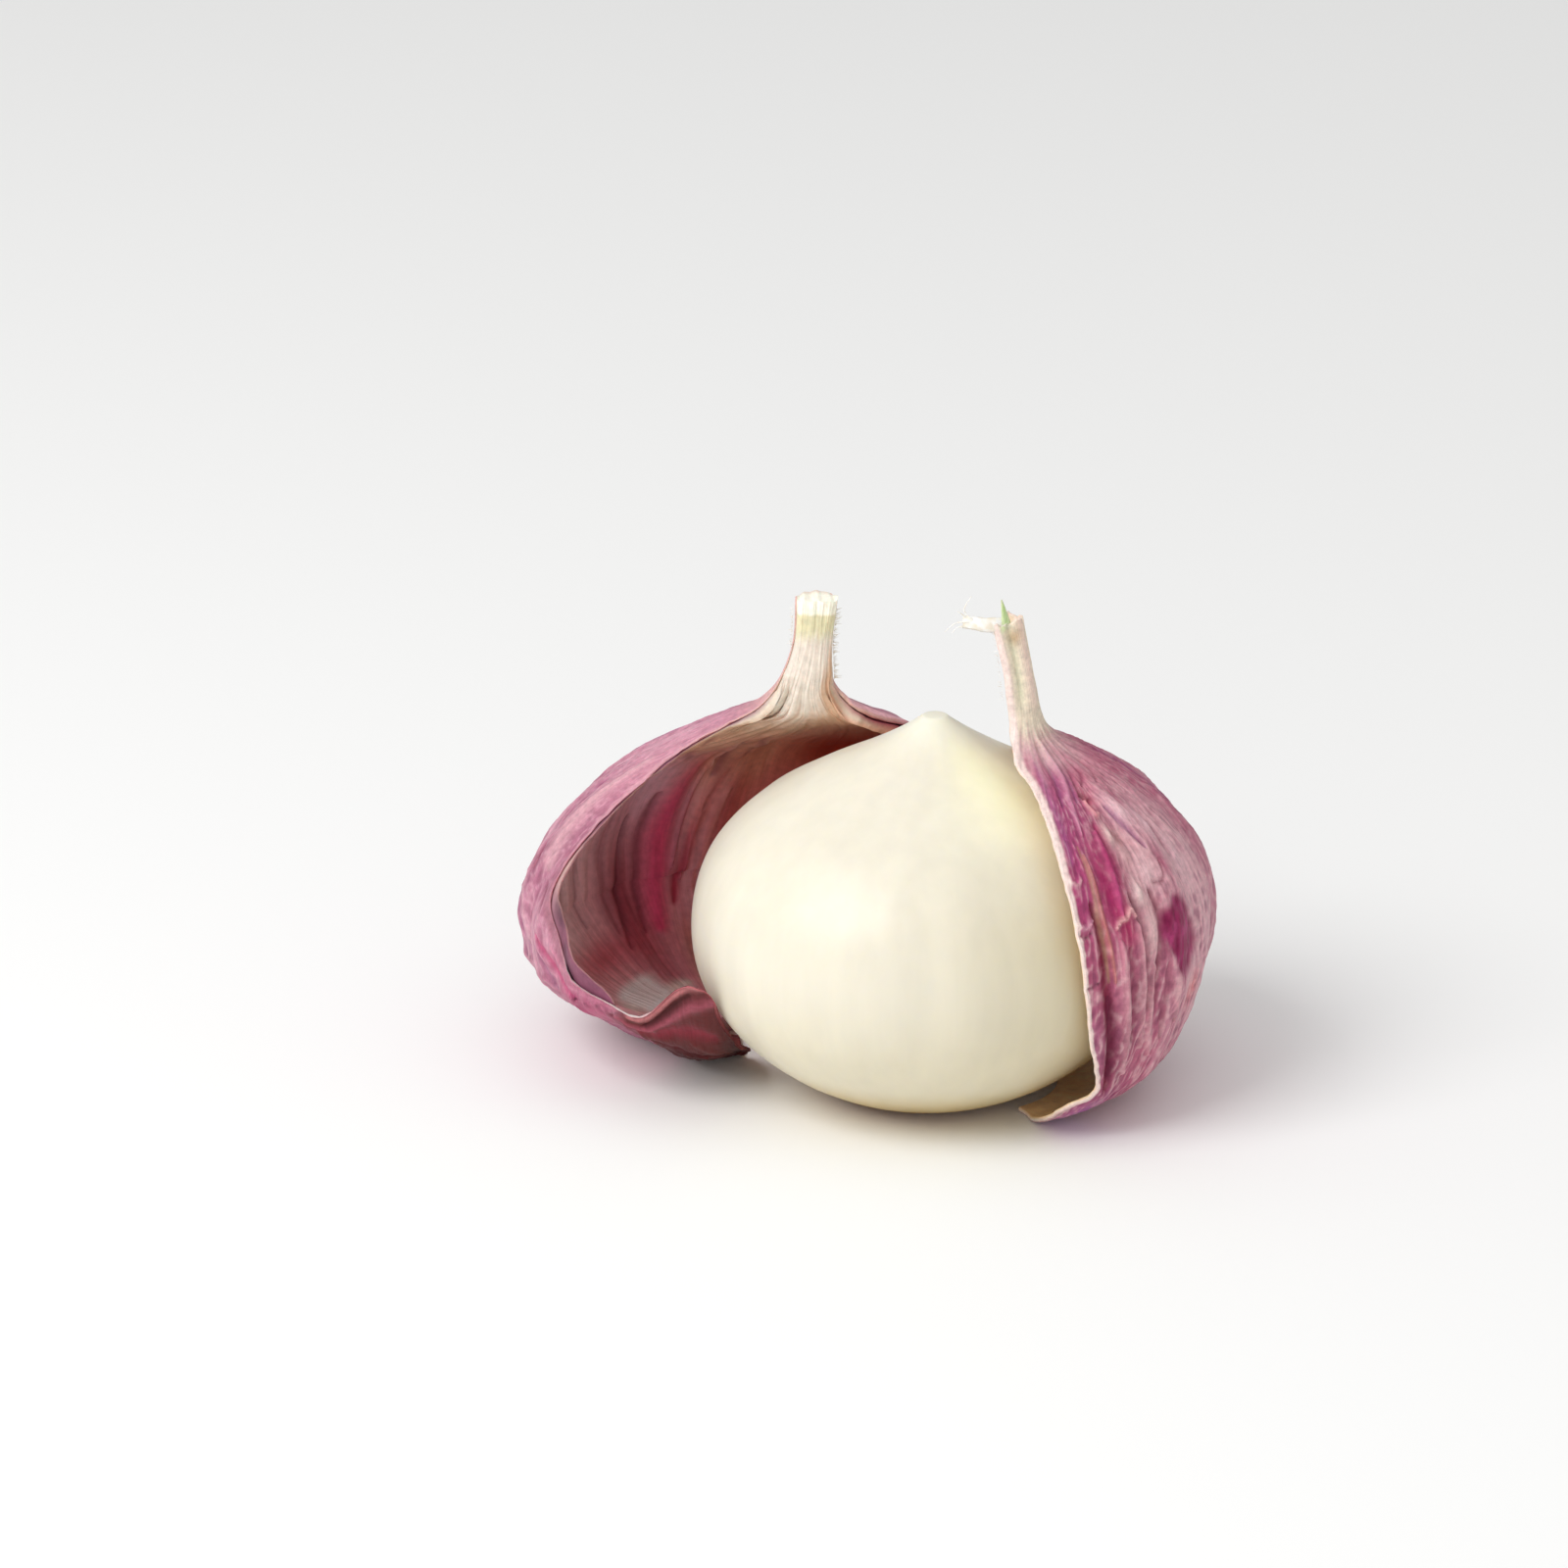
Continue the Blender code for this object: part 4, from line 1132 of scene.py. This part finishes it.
def make_right_tunic(finishes):
    """The right half's skin: a strongly wrinkled shell against the clove, with a strip of the neck on top."""
    skin = Skin(RIGHT_HALF, crowded(COLUMNS, *RIGHT_CROWDING), ragged=0.1, seed=51)
    skin.lower(torn_top(skin, RIGHT_CUT_DEPTH, 49))
    paint = paint_right(skin)
    crest = wrinkles(skin, 2.1, 61)
    # Painted sheen on the wrinkle crests of the far side
    paint.lay(PAINTED_SHEEN_PINK, 0.35 * smooth_step(0.5, 0.85, crest) * skin.past(0, 14) * skin.body())
    front, far = RIGHT_WRINKLES
    wrinkled = front + (far - front) * skin.past(-28, -8)
    relief = wrinkled * (crest - 0.45) * ease_ends(skin) + paint.relief
    face, back = tunic_faces(skin, relief, TUNIC_THICKNESS)
    inside = Paint(skin, ["#ffd6a4", "#ffe2b8"], 65, RIGHT_INSIDE_MARKS)
    rim = Paint(skin, ["#ecd2c4", "#f4e0d4"], 66)
    tones = (paint.tone, inside.tone, rim.tone)
    return closed_sheet("right_tunic", skin, face, back, tones, finishes)


def new_finish(name):
    made = bpy.data.materials.new(name)
    made.use_nodes = True
    return made, made.node_tree, made.node_tree.nodes["Principled BSDF"]


def flesh_finish():
    """Fresh peeled garlic: dense moist ivory flesh that lets some light in, under a waxy film's soft gloss."""
    made, tree, shader = new_finish("garlic_flesh")
    tint = add(tree, "ShaderNodeAttribute", attribute_name="tint").outputs["Color"]
    place = add(tree, "ShaderNodeTexCoord").outputs["Object"]
    across, down = 1 / (1.4 * MM), 1 / (18 * MM)
    long_grain = add(tree, "ShaderNodeMapping", {0: place, "Scale": (across, across, down)})
    streak = add(tree, "ShaderNodeTexNoise", {"Vector": long_grain.outputs[0], "Scale": 1.0, "Detail": 3.0})
    cloud = add(tree, "ShaderNodeTexNoise", {"Vector": place, "Scale": 1 / (7 * MM), "Detail": 2.0})
    fine = add(tree, "ShaderNodeMapRange", {"Value": streak.outputs[0], 1: 0.3, 2: 0.7, 3: 0.975, 4: 1.02})
    broad = add(tree, "ShaderNodeMapRange", {"Value": cloud.outputs[0], 1: 0.3, 2: 0.7, 3: 0.97, 4: 1.02})
    both = add(tree, "ShaderNodeMath", {0: fine.outputs[0], 1: broad.outputs[0]}, operation="MULTIPLY")
    colour = add(tree, "ShaderNodeVectorMath", {0: tint, "Scale": both.outputs[0]}, operation="SCALE")
    tree.links.new(colour.outputs[0], shader.inputs["Base Color"])
    gloss = add(tree, "ShaderNodeMapRange", {"Value": cloud.outputs[0], 1: 0.3, 2: 0.7, 3: 0.3, 4: 0.4})
    tree.links.new(gloss.outputs[0], shader.inputs["Roughness"])
    shader.inputs["IOR"].default_value = 1.42
    shader.inputs["Subsurface Weight"].default_value = 0.4
    shader.inputs["Subsurface Radius"].default_value = (1.0, 0.8, 0.45)
    shader.inputs["Subsurface Scale"].default_value = 2.0 * MM
    grain = add(tree, "ShaderNodeBump", {"Height": streak.outputs[0], "Strength": 0.2, "Distance": 0.05 * MM})
    tree.links.new(grain.outputs[0], shader.inputs["Normal"])
    return made


def paper_finish(name, fibre_pitch, mottle_size, contrast, rough, through):
    """A dry skin: its painted tones, broken up by fibres along it and by the mottle of its cells, in mm.

    Dry garlic paper is thin cellulose: satin on its veins, a little see-through, so light behind it warms it.
    """
    made, tree, shader = new_finish(name)
    tint = add(tree, "ShaderNodeAttribute", attribute_name="tint").outputs["Color"]
    body = add(tree, "ShaderNodeAttribute", attribute_name="body").outputs["Fac"]
    grain = add(tree, "ShaderNodeUVMap", uv_map="grain_mm").outputs[0]
    place = add(tree, "ShaderNodeTexCoord").outputs["Object"]
    fibres = (1 / fibre_pitch, 1 / (22 * fibre_pitch), 1)
    drawn_out = add(tree, "ShaderNodeMapping", {0: grain, "Scale": fibres}).outputs[0]
    fibre = add(tree, "ShaderNodeTexNoise", {"Vector": drawn_out, "Scale": 1.0, "Detail": 3.0}).outputs[0]
    mottle = add(tree, "ShaderNodeTexNoise", {
        "Vector": place, "Scale": 1 / (mottle_size * MM), "Detail": 4.0, "Roughness": 0.6,
    }).outputs[0]
    faint = 0.6 * contrast
    line = add(tree, "ShaderNodeMapRange", {"Value": fibre, 1: 0.3, 2: 0.7, 3: -faint, 4: faint})
    lines = add(tree, "ShaderNodeMath", {0: line.outputs[0], 1: body}, operation="MULTIPLY")
    cells = add(tree, "ShaderNodeMapRange", {
        "Value": mottle, 1: 0.3, 2: 0.7, 3: 1 - contrast, 4: 1 + contrast,
    })
    both = add(tree, "ShaderNodeMath", {0: lines.outputs[0], 1: cells.outputs[0]}, operation="ADD")
    colour = add(tree, "ShaderNodeVectorMath", {0: tint, "Scale": both.outputs[0]}, operation="SCALE")
    tree.links.new(colour.outputs[0], shader.inputs["Base Color"])
    gloss = add(tree, "ShaderNodeMapRange", {
        "Value": mottle, 1: 0.3, 2: 0.7, 3: rough - 0.08, 4: rough + 0.1,
    })
    tree.links.new(gloss.outputs[0], shader.inputs["Roughness"])
    shader.inputs["IOR"].default_value = 1.45
    shader.inputs["Specular IOR Level"].default_value = 0.14
    shader.inputs["Sheen Weight"].default_value = 0.01
    shader.inputs["Sheen Roughness"].default_value = 0.4
    if through:
        shader.inputs["Subsurface Weight"].default_value = through
        shader.inputs["Subsurface Radius"].default_value = (1.0, 0.4, 0.35)
        shader.inputs["Subsurface Scale"].default_value = 0.6 * MM
    ridges = add(tree, "ShaderNodeMath", {0: fibre, 1: body}, operation="MULTIPLY")
    threads = add(tree, "ShaderNodeBump", {
        "Height": ridges.outputs[0], "Strength": 0.5, "Distance": 0.05 * MM,
    })
    surface = add(tree, "ShaderNodeBump", {
        "Height": mottle, "Strength": 0.5, "Distance": 0.06 * MM, "Normal": threads.outputs[0],
    })
    tree.links.new(surface.outputs[0], shader.inputs["Normal"])
    return made


def fibre_finish():
    """The loose pale threads and scraps of a torn garlic skin: dry bare cellulose."""
    made, tree, shader = new_finish("torn_fibre")
    place = add(tree, "ShaderNodeTexCoord").outputs["Object"]
    patchy = add(tree, "ShaderNodeTexNoise", {"Vector": place, "Scale": 1 / (0.6 * MM), "Detail": 2.0})
    stops = [(0.35, "#ece2d0"), (0.6, "#fdfaf4")]
    tone = add(tree, "ShaderNodeValToRGB", {"Fac": patchy.outputs[0]}, stops)
    tree.links.new(tone.outputs[0], shader.inputs["Base Color"])
    shader.inputs["Roughness"].default_value = 0.6
    shader.inputs["Subsurface Weight"].default_value = 0.25
    shader.inputs["Subsurface Radius"].default_value = (1.0, 0.8, 0.6)
    shader.inputs["Subsurface Scale"].default_value = 0.3 * MM
    return made


def sprout_finish():
    """The green tip inside the neck: soft moist leaf, darker along its veins."""
    made, tree, shader = new_finish("green_sprout")
    place = add(tree, "ShaderNodeTexCoord").outputs["Object"]
    across, along_it = 1 / (0.2 * MM), 1 / (3 * MM)
    drawn_out = add(tree, "ShaderNodeMapping", {0: place, "Scale": (across, across, along_it)})
    veins = add(tree, "ShaderNodeTexNoise", {"Vector": drawn_out.outputs[0], "Scale": 1.0, "Detail": 2.0})
    stops = [(0.35, "#b4cc8c"), (0.65, "#e2ecc0")]
    tone = add(tree, "ShaderNodeValToRGB", {"Fac": veins.outputs[0]}, stops)
    tree.links.new(tone.outputs[0], shader.inputs["Base Color"])
    shader.inputs["Roughness"].default_value = 0.45
    shader.inputs["Subsurface Weight"].default_value = 0.3
    shader.inputs["Subsurface Radius"].default_value = (0.8, 1.0, 0.4)
    shader.inputs["Subsurface Scale"].default_value = 0.4 * MM
    return made


def new_node_tree(name, inputs):
    """A geometry node tree with named inputs: the tree, its input sockets and the socket for its result."""
    tree = bpy.data.node_groups.new(name, "GeometryNodeTree")
    tree.interface.new_socket("Geometry", in_out="INPUT", socket_type="NodeSocketGeometry")
    for label, kind in inputs:
        tree.interface.new_socket(label, in_out="INPUT", socket_type="NodeSocket" + kind)
    tree.interface.new_socket("Geometry", in_out="OUTPUT", socket_type="NodeSocketGeometry")
    return tree, tree.nodes.new("NodeGroupInput").outputs, tree.nodes.new("NodeGroupOutput").inputs[0]


def strand_tree():
    """Makes a tapered strand, round or flat, along each guide line."""
    tree, given, result = new_node_tree("torn_strand", [
        ("Thickness", "Float"), ("Tip", "Float"), ("Flatness", "Vector"), ("Finish", "Material"),
    ])
    line = add(tree, "GeometryNodeMeshToCurve", {0: given["Geometry"]}).outputs[0]
    soft = add(tree, "GeometryNodeCurveSplineType", {0: line}, spline_type="CATMULL_ROM").outputs[0]
    path = add(tree, "GeometryNodeResampleCurve", {0: soft, "Count": 18}).outputs[0]
    place = add(tree, "GeometryNodeSplineParameter").outputs["Factor"]
    taper = add(tree, "ShaderNodeMapRange", {
        "Value": place, 1: 0.0, 2: 1.0, 3: 1.0, 4: given["Tip"],
    }).outputs[0]
    width = add(tree, "ShaderNodeMath", {0: taper, 1: given["Thickness"]}, operation="MULTIPLY").outputs[0]
    ring = add(tree, "GeometryNodeCurvePrimitiveCircle", {"Resolution": 8, "Radius": 1.0}).outputs[0]
    section = add(tree, "GeometryNodeTransform", {0: ring, "Scale": given["Flatness"]}).outputs[0]
    body = add(tree, "GeometryNodeCurveToMesh", {0: path, 1: section, 2: width, "Fill Caps": True}).outputs[0]
    plain = add(tree, "GeometryNodeRealizeInstances", {0: body}).outputs[0]
    smooth = add(tree, "GeometryNodeSetShadeSmooth", {0: plain}).outputs[0]
    dressed = add(tree, "GeometryNodeSetMaterial", {0: smooth, "Material": given["Finish"]}).outputs[0]
    tree.links.new(dressed, result)
    return tree


def fuzz_tree():
    """Scatters short curved fibres along each guide line, leaning about one direction."""
    tree, given, result = new_node_tree("torn_fuzz", [
        ("Count", "Int"), ("Length", "Float"), ("Thickness", "Float"), ("Direction", "Vector"),
        ("Spread", "Float"), ("Seed", "Int"), ("Finish", "Material"),
    ])
    line = add(tree, "GeometryNodeMeshToCurve", {0: given["Geometry"]}).outputs[0]
    spots = add(tree, "GeometryNodeCurveToPoints", {0: line, 1: given["Count"]}, mode="COUNT").outputs[0]
    bow = add(tree, "GeometryNodeCurveQuadraticBezier", {
        "Resolution": 5, "Start": (0, 0, 0), "Middle": (0, 0.05, 0.5), "End": (0.1, 0.35, 1),
    }).outputs[0]
    place = add(tree, "GeometryNodeSplineParameter").outputs["Factor"]
    taper = add(tree, "ShaderNodeMapRange", {"Value": place, 1: 0.0, 2: 1.0, 3: 1.0, 4: 0.25}).outputs[0]
    ring = add(tree, "GeometryNodeCurvePrimitiveCircle", {
        "Resolution": 4, "Radius": given["Thickness"],
    }).outputs[0]
    fibre = add(tree, "GeometryNodeCurveToMesh", {0: bow, 1: ring, 2: taper, "Fill Caps": True}).outputs[0]
    lean = add(tree, "FunctionNodeAlignRotationToVector", {"Vector": given["Direction"]}, axis="Z").outputs[0]
    least = add(tree, "ShaderNodeVectorMath", {0: (-1, -1, -1), "Scale": given["Spread"]}, operation="SCALE")
    most = add(tree, "ShaderNodeVectorMath", {0: (1, 1, 1), "Scale": given["Spread"]}, operation="SCALE")
    stray = add(tree, "FunctionNodeRandomValue", {
        0: least.outputs[0], 1: most.outputs[0], "Seed": given["Seed"],
    }, data_type="FLOAT_VECTOR").outputs[0]
    turn = add(tree, "FunctionNodeEulerToRotation", {0: stray}).outputs[0]
    turned = add(tree, "FunctionNodeRotateRotation", {0: lean, 1: turn}).outputs[0]
    short = add(tree, "ShaderNodeMath", {0: given["Length"], 1: 0.25}, operation="MULTIPLY").outputs[0]
    size = add(tree, "FunctionNodeRandomValue", {
        2: short, 3: given["Length"], "Seed": given["Seed"],
    }).outputs[1]
    scattered = add(tree, "GeometryNodeInstanceOnPoints", {
        "Points": spots, "Instance": fibre, "Rotation": turned, "Scale": size,
    }).outputs[0]
    plain = add(tree, "GeometryNodeRealizeInstances", {0: scattered}).outputs[0]
    smooth = add(tree, "GeometryNodeSetShadeSmooth", {0: plain}).outputs[0]
    dressed = add(tree, "GeometryNodeSetMaterial", {0: smooth, "Material": given["Finish"]}).outputs[0]
    tree.links.new(dressed, result)
    return tree


def grown(name, tree, lines, values):
    """A plain mesh that a node tree has made from guide lines, which are in mm."""
    points, edges = [], []
    for line in lines:
        edges += [(len(points) + i, len(points) + i + 1) for i in range(len(line) - 1)]
        points += [Vector(place) * MM for place in line]
    mesh = bpy.data.meshes.new(name)
    mesh.from_pydata(points, edges, [])
    piece = bpy.data.objects.new(name, mesh)
    bpy.context.scene.collection.objects.link(piece)
    growth = piece.modifiers.new("Growth", "NODES")
    growth.node_group = tree
    sockets = {item.name: item.identifier for item in tree.interface.items_tree if item.in_out == "INPUT"}
    for label, value in values.items():
        growth[sockets[label]] = value
    graph = bpy.context.evaluated_depsgraph_get()
    made = bpy.data.meshes.new_from_object(piece.evaluated_get(graph))
    piece.modifiers.clear()
    piece.data = made
    return piece


def make_torn_bits(finish):
    """The scrap, the sprout and the threads at the right neck's tip, and the fuzz on both necks' edges."""
    strand, fuzz = strand_tree(), fuzz_tree()
    scrap = grown("neck_scrap", strand, [SCRAP_LINE], {
        "Thickness": 0.62 * MM, "Tip": 0.75, "Flatness": (0.16, 1.0, 1.0), "Finish": finish,
    })
    sprout = grown("neck_sprout", strand, [SPROUT_LINE], {
        "Thickness": 0.5 * MM, "Tip": 0.12, "Flatness": (0.35, 1.0, 1.0), "Finish": sprout_finish(),
    })
    threads = grown("neck_threads", strand, THREAD_LINES, {
        "Thickness": 0.07 * MM, "Tip": 0.3, "Flatness": (1.0, 1.0, 1.0), "Finish": finish,
    })
    bits = [scrap, sprout, threads]
    for number, edge in enumerate(FUZZY_EDGES):
        bits.append(grown(f"{edge.name}_fuzz", fuzz, [edge.line], {
            "Count": edge.count, "Length": edge.length * MM, "Thickness": 0.09, "Direction": edge.direction,
            "Spread": 0.7, "Seed": number, "Finish": finish,
        }))
    return bits


def make_stage():
    """A plain pale table top under soft studio light."""
    made, tree, shader = new_finish("white_table")
    shader.inputs["Base Color"].default_value = linear("#f8f8f7")
    shader.inputs["Roughness"].default_value = 0.75
    half = 1.5
    mesh = bpy.data.meshes.new("table_top")
    corners = [(-half, -half, 0), (half, -half, 0), (half, half, 0), (-half, half, 0)]
    mesh.from_pydata(corners, [], [(0, 1, 2, 3)])
    mesh.materials.append(made)
    table = bpy.data.objects.new("table_top", mesh)
    bpy.context.scene.collection.objects.link(table)
    table.location.z = -0.02 * MM


def make_light(name, place, size, power):
    """A square soft box that faces the clove."""
    data = bpy.data.lights.new(name, "AREA")
    data.size = size
    data.energy = power
    lamp = bpy.data.objects.new(name, data)
    bpy.context.scene.collection.objects.link(lamp)
    lamp.location = place
    aim = Vector((0, 0, 12 * MM)) - lamp.location
    lamp.rotation_mode = "QUATERNION"
    lamp.rotation_quaternion = aim.to_track_quat("-Z", "Y")


def make_camera():
    """The photograph's view, from a little above the table."""
    rise = math.radians(CAMERA_ELEVATION)
    back = Vector((0, -math.cos(rise), math.sin(rise)))
    data = bpy.data.cameras.new("camera")
    data.sensor_width = 36
    data.lens = data.sensor_width * CAMERA_DISTANCE / VIEW_WIDTH
    data.clip_start = 0.01
    camera = bpy.data.objects.new("camera", data)
    bpy.context.scene.collection.objects.link(camera)
    camera.location = Vector(CAMERA_TARGET) + back * CAMERA_DISTANCE
    camera.rotation_mode = "QUATERNION"
    camera.rotation_quaternion = (-back).to_track_quat("-Z", "Y")
    bpy.context.scene.camera = camera


def make_surroundings():
    """A white room, brighter overhead than at the horizon, and a soft box above the clove's left shoulder."""
    world = bpy.data.worlds.new("white_room")
    bpy.context.scene.world = world
    world.use_nodes = True
    tree = world.node_tree
    aim = add(tree, "ShaderNodeTexCoord").outputs["Generated"]
    rise = add(tree, "ShaderNodeSeparateXYZ", {0: aim}).outputs["Z"]
    strength = add(tree, "ShaderNodeMapRange", {"Value": rise, 1: 0.0, 2: 1.0, 3: 0.3, 4: 0.79})
    sky = tree.nodes["Background"]
    sky.inputs[0].default_value = (1, 1, 1, 1)
    tree.links.new(strength.outputs[0], sky.inputs[1])
    make_light("key_soft_box", (-0.38, -0.28, 0.46), 0.38, 2.6)
    make_light("front_reflector", (-0.1, -0.75, 0.2), 0.6, 1.0)
    bpy.context.scene.view_settings.view_transform = "Standard"


def build():
    make_camera()
    make_surroundings()
    make_stage()
    flesh = flesh_finish()
    # Dry outer tunic: crisp pigmented paper, finely mottled, satin
    tunic = paper_finish(
        "purple_tunic", fibre_pitch=0.16, mottle_size=0.42, contrast=0.16, rough=0.46, through=0.12,
    )
    # Inner skin: smoother parchment with straight fine veins
    lining = paper_finish(
        "parchment_lining", fibre_pitch=0.2, mottle_size=0.6, contrast=0.12, rough=0.4, through=0.2,
    )
    # The torn thickness of the skins: bare cellulose, matt
    torn = paper_finish(
        "torn_edge", fibre_pitch=0.2, mottle_size=0.3, contrast=0.08, rough=0.6, through=0.25,
    )
    # The sides that face the clove or the other skin: plain parchment
    hidden = paper_finish(
        "plain_parchment", fibre_pitch=0.25, mottle_size=0.9, contrast=0.14, rough=0.45, through=0.0,
    )
    pieces = [
        (make_clove(flesh), "clove", "clove_flesh"),
        (make_left_tunic([tunic, hidden, torn]), "skin_left_outer", "purple_skin"),
        (make_lining([lining, hidden, torn]), "skin_left_inner", "inner_skin"),
        (make_right_tunic([tunic, hidden, torn]), "skin_right", "purple_skin"),
    ]
    for piece, node, slot in pieces:
        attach(piece, "root")
        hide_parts(node)
    for bit in make_torn_bits(fibre_finish()):
        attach(bit, "root")


build()
